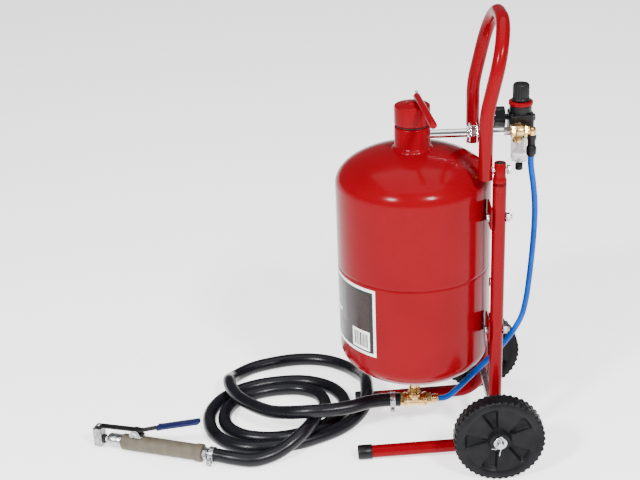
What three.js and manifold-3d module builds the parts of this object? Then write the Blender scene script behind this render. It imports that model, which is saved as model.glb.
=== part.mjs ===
// Mobile pressure blast pot: red steel tank on a two-wheel cart, air line, outlet, blast hose and trigger gun.
// Millimetres, +Z up. The tank stands on the local Z axis, the cart's back is towards +X, left is -Y.
import * as THREE from 'three';
import { mergeVertices } from 'three/addons/utils/BufferGeometryUtils.js';
import Module from 'manifold-3d';

const wasm = await Module();
wasm.setup();

// ---------- driving dimensions ----------
const GAP = 0.3;                  // air between pieces that touch

const TANK_R = 127;
const TANK_WALL = 2.5;
const LAP_STEP = 0.8;             // the lower half tucks into the upper one
const SHELL_Z = [186, 478];       // straight wall
const DOME_H = 58;
const SEAM_Z = 338;
const SOCKET = { r: 13, bore: 7, z: 116 };

const NECK = { r: 29, bore: 22, top: 573 };
const CAP = { r: 29, z0: 576, rim: 605.5, top: 611.6, plugR: 17, plugZ: 565 };
const LEVER_BAR = { r: 5.75, from: [7.5, 8, 619], to: [26, -102, 604.5] };
const LABEL = { z0: 209, z1: 331, halfAngle: 57, thick: 0.4 };

const TUBE_R = 11;
const TUBE_WALL = 1.5;
const SIDE_Y = 88;                // frame tubes and handle legs
const UPRIGHT = { x: 129.3, top: 537, neckR: 9.25, neckZ: 511, bend: 48 };
const LEG = { tipX: -104, rise: 3 };
const LEG_CAP = { r: 12.8, length: 25, wall: 2 };
const HANDLE = { x: 106.8, z0: 509, kneeZ: 612, lean: 12.5, topZ: 747, kneeR: 180, cornerR: 76 };

const WHEEL = { r: 75, y: 148, half: 16, hubHalf: 18, hubR: 17, rimR: 59, bore: 6.4 };
const AXLE = { r: 6, half: 177, collarR: 9 };
const COTTER = { r: 1.4, y: 172, half: 11 };

const BRACKET = { x: 115, thick: 3, height: 36, yIn: 55, yOut: 100, z: [445, 245] };
const M8 = { r: 4, hole: 4.4, headR: 7.2, headH: 5 };
const HANDLE_BOLT_Z = 525;

const LINE_Z = 556.5;             // axis of the air pipe
const PIPE = { r: 6.85, x0: 24, x1: 157 };
const UNION = { x: 86.5, length: 17, r: 17 };
const TOP_TEE = { x: 171.5, back: 14, front: 12.6 };
const REG = { x: 178.5, y: 38, half: 20, corner: 6, z0: 545, z1: 575 };
const BONNET = { r: 18, z0: 570, z1: 588, ringR: 19.5, ringTop: 595 };
const KNOB = { skirtR: 14.5, r: 13.6, skirtTop: 599, top: 624 };
const GAUGE = { z: 568, r: 18, back: REG.x - 26, front: REG.x - 45, rim: 2, depth: 4, stemR: 5 };
const NEEDLE = { length: 13, tail: 4, width: 1.6, tilt: 45 };
const BOWL = { r: 14.3, z0: 492, z1: 536, wall: 2, floor: 2.5 };
const DRAIN = { r: 5, stemR: 3, z0: 476, z1: 487 };
const INLET = { hexEnd: 29, neckR: 4.5, r: 6, tipR: 5.8, tip: 54 };  // lengths from the regulator's axis
const ELBOW = { x: 191.5, r: 8, z0: 513, top: 564 };

const OUTLET_Z = 62;              // axis of the bottom tee
const HOSE_R = 12;
const HOSE_START_X = -25.7;
const AIR_R = 5;

const GUN = { x: -345.6, y: -89, z: 17, heading: 162.8 };
const HOSE_END_S = 17;            // along the gun's axis

// ---------- materials ----------
const paint = (name, color, roughness, metalness) =>
  Object.assign(new THREE.MeshStandardMaterial({ color, roughness, metalness }), { name });
const RED = paint('red_paint', 0xbe1f24, 0.25, 0.1);
const ZINC = paint('zinc', 0xb9bcc0, 0.35, 0.9);
const CHROME = paint('chrome', 0xd8dbde, 0.12, 1);
const BRASS = paint('brass', 0xc79a4b, 0.3, 1);
const BLACK_PLASTIC = paint('black_plastic', 0x17181a, 0.4, 0);
const BLACK_RUBBER = paint('black_rubber', 0x1b1b1d, 0.65, 0);
const CLEAR = paint('clear_bowl', 0xe8e6ee, 0.1, 0);
const BLUE_TUBE = paint('blue_tube', 0x0f6fd0, 0.3, 0);
const TAUPE = paint('taupe_plastic', 0x7d7364, 0.55, 0);
const BLUE_VINYL = paint('blue_vinyl', 0x232a52, 0.4, 0);
const BLACK_STEEL = paint('black_steel', 0x232425, 0.45, 0.6);
const CERAMIC = paint('ceramic', 0xd9d4c8, 0.5, 0);
const PRINT = paint('label_print', 0x1c1c1e, 0.3, 0);
const DIAL_RED = paint('needle_red', 0xc8201c, 0.4, 0);

// ---------- shape helpers ----------
const rad = THREE.MathUtils.degToRad;
const vec = (x, y, z) => new THREE.Vector3(x, y, z);

/** Turned body about Z through (x, y); profile is a list of [radius, z]. */
function turned(profile, sides = 20, x = 0, y = 0) {
  const outline = profile.map(([r, z]) => new THREE.Vector2(r, z));
  return new THREE.LatheGeometry(outline, sides).rotateX(Math.PI / 2).translate(x, y, 0);
}

/** Closes a hollow profile on itself. */
const ring = (profile) => [...profile, profile[0]];

/** A turned body whose axis lies along +X, with profile [radius, x]. */
const turnedX = (profile, sides, y, z) =>
  turned(profile, sides).rotateY(Math.PI / 2).translate(0, y, z);

/** A turned body whose axis lies along +Y, with profile [radius, y]. */
const turnedY = (profile, sides, x, z) =>
  turned(profile, sides).rotateX(-Math.PI / 2).translate(x, 0, z);

const disc = (r, a, b) => [[0, a], [r, a], [r, b], [0, b]];
const sleeve = (r, bore, a, b) => ring([[bore, a], [r, a], [r, b], [bore, b]]);

function box(x0, x1, y0, y1, z0, z1) {
  return new THREE.BoxGeometry(x1 - x0, y1 - y0, z1 - z0)
    .translate((x0 + x1) / 2, (y0 + y1) / 2, (z0 + z1) / 2);
}

/** Follows chosen stations only, so that a straight run takes a single step of an extrusion. */
class StationPath extends THREE.Curve {
  constructor(stations) {
    super();
    this.stations = stations;
  }
  getPointAt(u) {
    return this.stations[Math.round(u * (this.stations.length - 1))].clone();
  }
  getTangentAt(u) {
    const last = this.stations.length - 1;
    const i = Math.round(u * last);
    const before = this.stations[Math.max(i - 1, 0)];
    const after = this.stations[Math.min(i + 1, last)];
    const here = this.stations[i];
    const into = here.clone().sub(before).normalize();
    const out = after.clone().sub(here).normalize();
    return into.add(out).normalize();
  }
}

/** Stations along a polyline whose corners are rounded to the given radii. */
function bentStations(corners, radii, stepsPerBend) {
  const stations = [corners[0]];
  for (let i = 1; i < corners.length - 1; i += 1) {
    const into = corners[i].clone().sub(corners[i - 1]).normalize();
    const out = corners[i + 1].clone().sub(corners[i]).normalize();
    const turn = into.angleTo(out);
    const reach = radii[i - 1] * Math.tan(turn / 2);
    const start = corners[i].clone().addScaledVector(into, -reach);
    const side = out.clone().addScaledVector(into, -out.dot(into)).normalize();
    const centre = start.clone().addScaledVector(side, radii[i - 1]);
    const steps = stepsPerBend[i - 1];
    for (let k = 0; k <= steps; k += 1) {
      const a = turn * k / steps;
      stations.push(centre.clone()
        .addScaledVector(side, -radii[i - 1] * Math.cos(a))
        .addScaledVector(into, radii[i - 1] * Math.sin(a)));
    }
  }
  stations.push(corners[corners.length - 1]);
  return stations;
}

const circle = (r, sides) => Array.from({ length: sides }, (_, i) => {
  const a = 2 * Math.PI * i / sides;
  return new THREE.Vector2(r * Math.cos(a), r * Math.sin(a));
});

/** Round tube or rod swept through stations. */
function swept(stations, r, bore, sides = 12) {
  const section = new THREE.Shape(circle(r, sides));
  if (bore) section.holes.push(new THREE.Path(circle(bore, sides)));
  return new THREE.ExtrudeGeometry(section, {
    steps: stations.length - 1,
    extrudePath: new StationPath(stations),
    curveSegments: 1,
  });
}

/** Plain solid of a cord: a section of eight sides along a smooth route. */
function cord(points, r, steps) {
  const route = new THREE.CatmullRomCurve3(points.map((p) => vec(...p)), false, 'centripetal');
  return new THREE.ExtrudeGeometry(new THREE.Shape(circle(r, 8)), { steps, extrudePath: route });
}

/** Hexagonal prism along +X with r across its corners, from x = a to b. */
const hexX = (r, a, b, y, z) => turnedX(disc(r, a, b), 6, y, z);

/** A shape drawn in X and Z, given a width along Y about the centre plane. */
function plateXZ(outline, width) {
  const shape = new THREE.Shape(outline.map(([x, z]) => new THREE.Vector2(x, z)));
  return new THREE.ExtrudeGeometry(shape, { depth: width, bevelEnabled: false })
    .rotateX(Math.PI / 2).translate(0, width / 2, 0);
}

/** Outline of a strip of even thickness along a bent line in X and Z. */
function stripOutline(line, thickness) {
  const upper = [];
  const lower = [];
  line.forEach(([x, z], i) => {
    const [x0, z0] = line[Math.max(i - 1, 0)];
    const [x1, z1] = line[Math.min(i + 1, line.length - 1)];
    const length = Math.hypot(x1 - x0, z1 - z0);
    const nx = -(z1 - z0) / length * thickness / 2;
    const nz = (x1 - x0) / length * thickness / 2;
    upper.push([x + nx, z + nz]);
    lower.unshift([x - nx, z - nz]);
  });
  return [...upper, ...lower];
}

// ---------- booleans ----------
function toManifold(geometry) {
  const plain = geometry.clone();
  plain.deleteAttribute('normal');
  plain.deleteAttribute('uv');
  const welded = mergeVertices(plain, 1e-4);
  return new wasm.Manifold(new wasm.Mesh({
    numProp: 3,
    vertProperties: new Float32Array(welded.attributes.position.array),
    triVerts: new Uint32Array(welded.index.array),
  }));
}

function fromManifold(solid) {
  const mesh = solid.getMesh();
  const geometry = new THREE.BufferGeometry();
  geometry.setAttribute('position', new THREE.BufferAttribute(mesh.vertProperties, 3));
  geometry.setIndex(new THREE.BufferAttribute(mesh.triVerts, 1));
  return geometry;
}

const join = (...parts) => fromManifold(parts.map(toManifold).reduce((a, b) => a.add(b)));
const cut = (body, ...tools) => fromManifold(tools.map(toManifold)
  .reduce((a, b) => a.subtract(b), toManifold(body)));

// ---------- assembly ----------
const pot = new THREE.Group();
const gun = new THREE.Group();
gun.position.set(GUN.x, GUN.y, GUN.z);
gun.rotation.z = rad(GUN.heading);
pot.add(gun);

function add(name, geometry, material, group = pot) {
  geometry.computeVertexNormals();
  const mesh = new THREE.Mesh(geometry, material);
  mesh.name = name;
  group.add(mesh);
}

const SIDES = { left: -1, right: 1 };

// ---------- tank ----------
/** Points on a dome from radius r0 to r1, with sign +1 above the wall and -1 below it. */
function dome(r0, r1, wallR, wallZ, height, sign, steps) {
  const a0 = Math.acos(r0 / wallR);
  const a1 = Math.acos(Math.min(r1 / wallR, 1));
  return Array.from({ length: steps + 1 }, (_, i) => {
    const a = a0 + (a1 - a0) * i / steps;
    return [wallR * Math.cos(a), wallZ + sign * height * Math.sin(a)];
  });
}

function tankShell() {
  const lowerR = TANK_R - LAP_STEP;
  const [z0, z1] = SHELL_Z;
  const inner = TANK_R - LAP_STEP - TANK_WALL;
  const innerH = DOME_H - TANK_WALL;
  return turned(ring([
    [SOCKET.bore, SOCKET.z], [SOCKET.r, SOCKET.z],
    ...dome(SOCKET.r, lowerR, lowerR, z0, DOME_H, -1, 8),
    [lowerR, SEAM_Z], [TANK_R, SEAM_Z + 1],
    ...dome(TANK_R, NECK.bore, TANK_R, z1, DOME_H, 1, 8),
    ...dome(NECK.bore, inner, inner, z1, innerH, 1, 6),
    ...dome(inner, SOCKET.bore, inner, z0, innerH, -1, 6),
  ]), 36);
}

function fillerNeck() {
  const domeZ = (r) => SHELL_Z[1] + DOME_H * Math.sqrt(1 - (r / TANK_R) ** 2) + GAP + 0.1;
  const toe = NECK.r + 4.5;
  const body = turned(ring([
    [NECK.bore, domeZ(NECK.bore)], [NECK.r - 1, domeZ(NECK.r - 1)], [toe, domeZ(toe)],
    [NECK.r + 2, domeZ(toe) + 2.5], [NECK.r, domeZ(toe) + 6.5],
    [NECK.r, NECK.top - 1.5], [NECK.r - 1.5, NECK.top], [NECK.bore, NECK.top],
  ]), 20);
  return cut(body, turnedX(disc(PIPE.r + GAP, NECK.bore - 5, NECK.r + 5), 14, 0, LINE_Z));
}

add('tank_shell', tankShell(), RED);
add('filler_neck', fillerNeck(), RED);
add('cap_gasket', turned(sleeve(NECK.r - 1.5, NECK.bore, NECK.top + GAP, CAP.z0 - GAP), 20), BLACK_RUBBER);
add('cap_plug', turned(disc(CAP.plugR, CAP.plugZ, CAP.z0 - GAP), 20), BLACK_STEEL);
add('filler_cap', turned([
  [0, CAP.z0], [CAP.r, CAP.z0], [CAP.r, CAP.rim], [CAP.r - 2, CAP.rim + 2],
  [8.5, CAP.top - 2.6], [8, CAP.top], [0, CAP.top],
], 20), RED);
add('cap_lever', swept([vec(...LEVER_BAR.from), vec(...LEVER_BAR.to)], LEVER_BAR.r, 0), RED);

function tankLabel() {
  const inner = TANK_R - LAP_STEP + GAP;
  const shape = new THREE.Shape();
  const from = Math.PI - rad(LABEL.halfAngle);
  const to = Math.PI + rad(LABEL.halfAngle);
  shape.absarc(0, 0, inner + LABEL.thick, from, to, false);
  shape.absarc(0, 0, inner, to, from, true);
  return new THREE.ExtrudeGeometry(shape, {
    depth: LABEL.z1 - LABEL.z0, bevelEnabled: false, curveSegments: 14,
  }).translate(0, 0, LABEL.z0);
}
add('tank_label', tankLabel(), PRINT);

// ---------- cart ----------
const legZ = (x) => LEG_CAP.r * Math.cos(rad(LEG.rise)) + (x - LEG.tipX) * Math.tan(rad(LEG.rise));

/** Cylinder along +X at the side plane, for a bolt or its hole. */
const boltRod = (r, a, b, y, z, sides = 10) => turnedX(disc(r, a, b), sides, y, z);

function frameTube(y) {
  const tubeEnd = LEG.tipX + LEG_CAP.wall + GAP;
  const corners = [
    vec(UPRIGHT.x, y, UPRIGHT.top),
    vec(UPRIGHT.x, y, legZ(UPRIGHT.x)),
    vec(tubeEnd, y, legZ(tubeEnd)),
  ];
  const tube = swept(bentStations(corners, [UPRIGHT.bend], [5]), TUBE_R, TUBE_R - TUBE_WALL);
  const swage = turned(sleeve(TUBE_R + 2, UPRIGHT.neckR, UPRIGHT.neckZ, UPRIGHT.top + 2), 12, UPRIGHT.x, y);
  const bore = turned(disc(UPRIGHT.neckR - TUBE_WALL, UPRIGHT.neckZ - 5, UPRIGHT.top + 2), 12, UPRIGHT.x, y);
  const plug = turned(disc(TUBE_R - 0.5, UPRIGHT.neckZ - 2, UPRIGHT.top), 12, UPRIGHT.x, y);
  const axleHole = turnedY(disc(AXLE.r + 0.4, y - 20, y + 20), 14, UPRIGHT.x, WHEEL.r);
  const boltHoles = [...BRACKET.z, HANDLE_BOLT_Z]
    .map((z) => boltRod(M8.hole, UPRIGHT.x - 20, UPRIGHT.x + 20, y, z));
  return cut(join(tube, plug), swage, bore, axleHole, ...boltHoles);
}

function legCap(y) {
  const stop = LEG_CAP.wall;
  const cup = turned([
    [0, 0], [LEG_CAP.r - 1, 0], [LEG_CAP.r, 1], [LEG_CAP.r, LEG_CAP.length],
    [TUBE_R + GAP + 0.1, LEG_CAP.length], [TUBE_R + GAP + 0.1, stop], [0, stop],
  ], 18);
  return cup.rotateY(Math.PI / 2 - rad(LEG.rise)).translate(LEG.tipX, y, legZ(LEG.tipX));
}

function handleLoop() {
  const topX = HANDLE.x + (HANDLE.topZ - HANDLE.kneeZ) * Math.tan(rad(HANDLE.lean));
  const corners = [
    vec(HANDLE.x, -SIDE_Y, HANDLE.z0), vec(HANDLE.x, -SIDE_Y, HANDLE.kneeZ), vec(topX, -SIDE_Y, HANDLE.topZ),
    vec(topX, SIDE_Y, HANDLE.topZ), vec(HANDLE.x, SIDE_Y, HANDLE.kneeZ), vec(HANDLE.x, SIDE_Y, HANDLE.z0),
  ];
  const radii = [HANDLE.kneeR, HANDLE.cornerR, HANDLE.cornerR, HANDLE.kneeR];
  const loop = swept(bentStations(corners, radii, [2, 6, 6, 2]), TUBE_R, TUBE_R - TUBE_WALL);
  const holes = Object.values(SIDES)
    .map((side) => boltRod(M8.hole, HANDLE.x, HANDLE.x + 20, side * SIDE_Y, HANDLE_BOLT_Z));
  return cut(loop, ...holes);
}

function tankBracket(side, z) {
  const { x, thick, height, yIn, yOut } = BRACKET;
  const y0 = Math.min(side * yIn, side * yOut);
  const y1 = Math.max(side * yIn, side * yOut);
  const plate = box(x, x + thick, y0, y1, z - height / 2, z + height / 2);
  return cut(plate, boltRod(M8.hole, x - 5, x + thick + 6, side * SIDE_Y, z));
}

/** Hex bolt with its nut; the shank runs along +X through the bracket and the upright. */
function bracketBolt(y, z) {
  const nutX = UPRIGHT.x + TUBE_R + GAP;
  const headX = BRACKET.x - GAP;
  return join(
    hexX(M8.headR, headX - M8.headH, headX, y, z),
    boltRod(M8.r, headX - 1, nutX + M8.headH + 2, y, z),
    hexX(M8.headR, nutX, nutX + M8.headH, y, z),
  );
}

/** Screw from behind, into the handle's leg. */
function handleBolt(y) {
  const headX = UPRIGHT.x + TUBE_R + GAP;
  return join(
    hexX(M8.headR, headX, headX + M8.headH, y, HANDLE_BOLT_Z),
    boltRod(M8.r, HANDLE.x + 2, headX + 1, y, HANDLE_BOLT_Z),
  );
}

function axle() {
  const collar = [WHEEL.y - WHEEL.hubHalf - 3, WHEEL.y - WHEEL.hubHalf - GAP];
  const half = (side) => turnedY(disc(AXLE.collarR, ...collar.map((y) => side * y).sort((a, b) => a - b)),
    16, UPRIGHT.x, WHEEL.r);
  const rod = turnedY([
    [0, -AXLE.half], [AXLE.r - 1, -AXLE.half], [AXLE.r, -AXLE.half + 1],
    [AXLE.r, AXLE.half - 1], [AXLE.r - 1, AXLE.half], [0, AXLE.half],
  ], 16, UPRIGHT.x, WHEEL.r);
  const holes = Object.values(SIDES).map((side) => turned(
    disc(COTTER.r + GAP, WHEEL.r - 10, WHEEL.r + 10), 8, UPRIGHT.x, side * COTTER.y));
  return cut(join(rod, half(-1), half(1)), ...holes);
}

function wheel(y) {
  const { r, half, hubHalf, hubR, rimR, bore } = WHEEL;
  const nearSide = [
    [bore, -hubHalf], [hubR - 2, -hubHalf], [hubR, 2 - hubHalf], [hubR + 2, -6],
    [rimR - 3, -6], [rimR, 2 - half], [rimR + 3, -half], [r - 4, -half], [r, 5 - half],
  ];
  const farSide = nearSide.map(([radius, w]) => [radius, -w]).reverse();
  return turnedY(ring([...nearSide, ...farSide]), 28, UPRIGHT.x, WHEEL.r).translate(0, y, 0);
}

function cotterPin(side) {
  const y = side * COTTER.y;
  const pin = turned(disc(COTTER.r, WHEEL.r - COTTER.half, WHEEL.r + COTTER.half), 8, UPRIGHT.x, y);
  const eye = new THREE.TorusGeometry(3, COTTER.r, 6, 10).rotateY(Math.PI / 2)
    .translate(UPRIGHT.x, y, WHEEL.r + COTTER.half + 2);
  return join(pin, eye);
}

for (const [name, side] of Object.entries(SIDES)) {
  const y = side * SIDE_Y;
  add(`frame_tube_${name}`, frameTube(y), RED);
  add(`leg_cap_${name}`, legCap(y), BLACK_PLASTIC);
  BRACKET.z.forEach((z, i) => {
    const level = ['upper', 'lower'][i];
    add(`bracket_${name}_${level}`, tankBracket(side, z), RED);
    add(`bracket_bolt_${name}_${level}`, bracketBolt(y, z), ZINC);
  });
  add(`handle_bolt_${name}`, handleBolt(y), ZINC);
  add(`wheel_${name}`, wheel(side * WHEEL.y), BLACK_PLASTIC);
  const washerY = side * (WHEEL.y + WHEEL.hubHalf + GAP + 1);
  add(`axle_washer_${name}`, turnedY(sleeve(11, AXLE.r + 0.4, -1, 1), 16, UPRIGHT.x, WHEEL.r)
    .translate(0, washerY, 0), ZINC);
  add(`cotter_pin_${name}`, cotterPin(side), ZINC);
}
add('handle_loop', handleLoop(), RED);
add('axle', axle(), ZINC);

// ---------- air line ----------
add('air_pipe', turnedX(ring([
  [PIPE.r - 2, PIPE.x0], [PIPE.r, PIPE.x0], [PIPE.r, PIPE.x1], [PIPE.r - 2, PIPE.x1],
]), 14, 0, LINE_Z), CHROME);
add('union_nut', cut(
  hexX(UNION.r, UNION.x, UNION.x + UNION.length, 0, LINE_Z),
  turnedX(disc(PIPE.r + 0.5, UNION.x - 1, UNION.x + UNION.length + 1), 24, 0, LINE_Z),
), CHROME);

/** Brass tee: two ends along X, one towards the regulator and a plugged one below. */
function topTee() {
  const { x, back, front } = TOP_TEE;
  return join(
    turnedX(disc(9, x - back + GAP, x + front), 16, 0, LINE_Z),
    hexX(11.5, x - back + GAP, x - 7, 0, LINE_Z),
    hexX(10.5, x + 7, x + front, 0, LINE_Z),
    turnedY(disc(9, 0, REG.y - REG.half - GAP), 16, x + 1, LINE_Z),
    turned(disc(8.5, LINE_Z - 17, LINE_Z), 16, x - 3, -2),
  );
}
add('top_tee', topTee(), BRASS);

function topElbow() {
  const start = TOP_TEE.x + TOP_TEE.front + GAP;
  const arm = turnedX(disc(ELBOW.r - 0.6, start, ELBOW.x), 16, 0, LINE_Z);
  const stem = turned([
    [0, ELBOW.z0], [ELBOW.r, ELBOW.z0], [ELBOW.r, ELBOW.z0 + 13], [ELBOW.r - 1.5, ELBOW.z0 + 16],
    [ELBOW.r - 1.5, ELBOW.top - 3], [ELBOW.r - 4, ELBOW.top], [0, ELBOW.top],
  ], 14, ELBOW.x, 0);
  return join(arm, stem);
}
add('top_elbow', topElbow(), BLACK_PLASTIC);

function roundedSquare(half, corner) {
  const s = new THREE.Shape();
  const c = half - corner;
  s.absarc(c, c, corner, 0, Math.PI / 2);
  s.absarc(-c, c, corner, Math.PI / 2, Math.PI);
  s.absarc(-c, -c, corner, Math.PI, 1.5 * Math.PI);
  s.absarc(c, -c, corner, 1.5 * Math.PI, 2 * Math.PI);
  return s;
}

/** Block with its bonnet above, the bowl's guard below and a blank plug opposite the gauge. */
function regulatorBody() {
  const block = new THREE.ExtrudeGeometry(roundedSquare(REG.half, REG.corner), {
    depth: REG.z1 - REG.z0, bevelEnabled: false, curveSegments: 3,
  }).translate(REG.x, REG.y, REG.z0);
  const bonnet = turned(disc(BONNET.r, BONNET.z0, BONNET.z1), 24, REG.x, REG.y);
  const guard = turned(disc(BONNET.r - 1, BOWL.z1, REG.z0 + 1), 24, REG.x, REG.y);
  const blank = turnedX(disc(6, REG.x + REG.half - 5, REG.x + REG.half + 4), 12, REG.y, GAUGE.z - 2);
  return join(block, bonnet, guard, blank);
}
add('regulator_body', regulatorBody(), BLACK_PLASTIC);
add('bonnet_ring', turned(sleeve(BONNET.ringR, 9, BONNET.z1 + GAP, BONNET.ringTop), 20, REG.x, REG.y), RED);

function regulatorKnob() {
  const { skirtR, r, skirtTop, top } = KNOB;
  const bottom = BONNET.ringTop + GAP;
  return turned([
    [0, bottom], [skirtR, bottom], [skirtR, skirtTop], [r, skirtTop + 1],
    [r, top - 2], [r - 1.6, top], [0, top],
  ], 20, REG.x, REG.y);
}
add('regulator_knob', regulatorKnob(), BLACK_PLASTIC);

/** Round case on a stem, its face sunk behind a rim and turned towards -X. */
function gaugeCase() {
  const { r, back, front, rim, depth, stemR, z } = GAUGE;
  const stemEnd = REG.x - REG.half - GAP;
  return turnedX([
    [0, front + depth], [r - rim, front + depth], [r - rim, front], [r, front],
    [r, back], [stemR, back], [stemR, stemEnd], [0, stemEnd],
  ], 20, REG.y, z);
}
add('gauge_case', gaugeCase(), BLACK_PLASTIC);
add('gauge_needle', box(
  GAUGE.front + 2, GAUGE.front + 3, -NEEDLE.width / 2, NEEDLE.width / 2, -NEEDLE.length, NEEDLE.tail,
).rotateX(rad(NEEDLE.tilt)).translate(0, REG.y, GAUGE.z), DIAL_RED);

function filterBowl() {
  const { r, z0, z1, wall, floor } = BOWL;
  const top = z1 - GAP;
  const inner = r - wall;
  return turned([
    [0, z0], [inner, z0], [r, z0 + 3], [r, top], [inner, top],
    [inner, z0 + 2 * floor], [inner - 2.3, z0 + floor], [0, z0 + floor],
  ], 18, REG.x, REG.y);
}
add('filter_bowl', filterBowl(), CLEAR);
add('drain_valve', turned([
  [0, DRAIN.z0], [DRAIN.r, DRAIN.z0], [DRAIN.r, DRAIN.z1], [DRAIN.stemR, DRAIN.z1],
  [DRAIN.stemR, BOWL.z0 - GAP], [0, BOWL.z0 - GAP],
], 12, REG.x, REG.y), BLACK_PLASTIC);

/** Quick-connect plug on the side away from the tee. */
function inletNipple() {
  const { hexEnd, neckR, r, tipR, tip } = INLET;
  const profile = [
    [0, REG.half + GAP], [r + 3, REG.half + GAP], [r + 3, hexEnd], [r, hexEnd + 1], [r, tip - 14],
    [neckR, tip - 12], [neckR, tip - 6], [tipR, tip - 4], [tipR, tip], [0, tip],
  ];
  return turnedY(profile, 12, REG.x, LINE_Z).translate(0, REG.y, 0);
}
add('inlet_nipple', inletNipple(), ZINC);

// ---------- outlet ----------
add('outlet_nipple', turned(ring([
  [5, OUTLET_Z + 15 + GAP], [9.5, OUTLET_Z + 15 + GAP], [9.5, OUTLET_Z + 26], [8, OUTLET_Z + 27],
  [8, SOCKET.z - 14], [9.5, SOCKET.z - 13], [9.5, SOCKET.z - GAP], [5, SOCKET.z - GAP],
]), 14), BRASS);
const TEE_ENDS = [-19, 21];
add('bottom_tee', join(
  turnedX(disc(11, ...TEE_ENDS), 16, 0, OUTLET_Z),
  turnedX(disc(12.5, TEE_ENDS[0], TEE_ENDS[0] + 6), 16, 0, OUTLET_Z),
  turnedX(disc(12.5, TEE_ENDS[1] - 6, TEE_ENDS[1]), 16, 0, OUTLET_Z),
  turned(disc(12, OUTLET_Z, OUTLET_Z + 15), 16),
), BRASS);
const FITTING_END = 42;
add('tube_fitting', join(
  hexX(10, TEE_ENDS[1] + GAP, 30, 0, OUTLET_Z),
  turnedX(disc(8, 29, FITTING_END), 20, 0, OUTLET_Z),
), BRASS);
add('hose_barb', hexX(12, HOSE_START_X + GAP, TEE_ENDS[0] - GAP, 0, OUTLET_Z), BRASS);

/** Band clamp with a bolt lug hanging below, about X through (0, y, z). */
function hoseClamp(x, y, z) {
  const inner = HOSE_R + 0.9;
  const band = turnedX(sleeve(inner + 1.2, inner, x - 4.5, x + 4.5), 20, y, z);
  const lug = box(x - 4.5, x + 4.5, y - 2.5, y + 2.5, z - inner - 10, z - inner - 0.6);
  const bolt = turnedY(disc(2.6, -8, 8), 12, x, z - inner - 6).translate(0, y, 0);
  return join(band, lug, bolt);
}
add('hose_clamp_tank', hoseClamp(HOSE_START_X - 13, 0, OUTLET_Z), ZINC);

// ---------- blast hose: one run over the coil, an upper loop, then two turns on the floor ----------
const HOSE_ROUTE = [
  [HOSE_START_X, 0, 62], [-52, 0, 62], [-80, -5, 62], [-115, -20, 62], [-150, -28, 62],
  [-185, -30, 62], [-222, -20, 55], [-256, 1, 45], [-290, 33, 39], [-318, 66, 37.5],
  [-333, 98, 37.5], [-339, 124, 36.5], [-341, 150, 26], [-336, 176, 15], [-322, 197, 12],
  [-298, 216, 12], [-262, 231, 12], [-225, 240, 12], [-185, 240, 12], [-150, 229, 12],
  [-119, 205, 13], [-98, 168, 20], [-87, 130, 33], [-83, 104, 39.6], [-82.5, 80, 39.8],
  [-83, 55, 36], [-90, 34, 27], [-105, 15, 18], [-129, -6, 12], [-165, -31, 12],
  [-207, -51, 12], [-252, -60, 12],
  [-299, -60, 12], [-339, -38, 12], [-364, -1, 12], [-371, 50, 12], [-353, 100, 12],
  [-310, 138, 12], [-250, 157, 12], [-192, 155, 12], [-150, 131, 12], [-128, 95, 12],
  [-124, 62, 12], [-133, 32, 12], [-155, 6, 12], [-188, -16, 12], [-228, -31, 12],
  [-270, -33, 12], [-310, -20, 12], [-337, 10, 12], [-343, 50, 12], [-329, 88, 12],
  [-296, 116, 12], [-250, 130, 12], [-204, 128, 12], [-173, 108, 12], [-161, 78, 12],
  [-163, 52, 14], [-168, 30, 24], [-173, 10, 34], [-178, -10, 37.2], [-184, -30, 37.2],
  [-196, -52, 36], [-218, -73, 27], [-248, -89, 16], [-283, -101, 13], [-318, -98, 16],
];
const gunPoint = (s) => [
  GUN.x + s * Math.cos(rad(GUN.heading)), GUN.y + s * Math.sin(rad(GUN.heading)), GUN.z,
];
const HOSE_POINTS = [...HOSE_ROUTE, gunPoint(0), gunPoint(HOSE_END_S)];
add('blast_hose', cord(HOSE_POINTS, HOSE_R, 78), BLACK_RUBBER);

// ---------- blue air tube: from the regulator's elbow down to the outlet tee ----------
const TUBE_ROUTE = [
  [191.5, 0, ELBOW.z0 - GAP], [191.6, 0, 500], [193.5, 0, 485], [197, 0, 462],
  [200.5, 0, 425], [200.5, 0, 380], [198, 0, 330], [195, 0, 290], [191, 0, 252],
  [184, 0, 220], [169, 0, 190], [149, 0, 162], [124, 0, 133], [96, 0, 103],
  [74, 0, 79], [60, 0, 66], [50, 0, OUTLET_Z], [FITTING_END + GAP, 0, OUTLET_Z],
];
add('air_tube', cord(TUBE_ROUTE, AIR_R, 30), BLUE_TUBE);

// ---------- trigger gun, along its own +X from the hose to the nozzle ----------
const GRIP = { from: 27.3, to: 180, r: 14.5, rearR: 16, bore: 8.5, scallopR: 11, scallopZ: -21.5 };
const SCALLOPS = [45, 68, 91, 114];
const PIVOT = { s: 152, z: 25, pinR: 2.4, pinHalf: 10 };
const BOSS = { behind: 14, ahead: 8, half: 5, top: 17.5 };       // the bracket's seat, about the pivot
const EARS = { half: 11, inner: 6.8, thick: 1.5, z0: 16, z1: 30 };
const NUT = { r: 12, tip: 207, inside: 190 };
const NOZZLE = { r: 4.6, bore: 1.75, end: 213 };
const STOPPER = { s0: 217.3, s1: 233, half: 10, z0: -12, z1: 24 };

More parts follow.
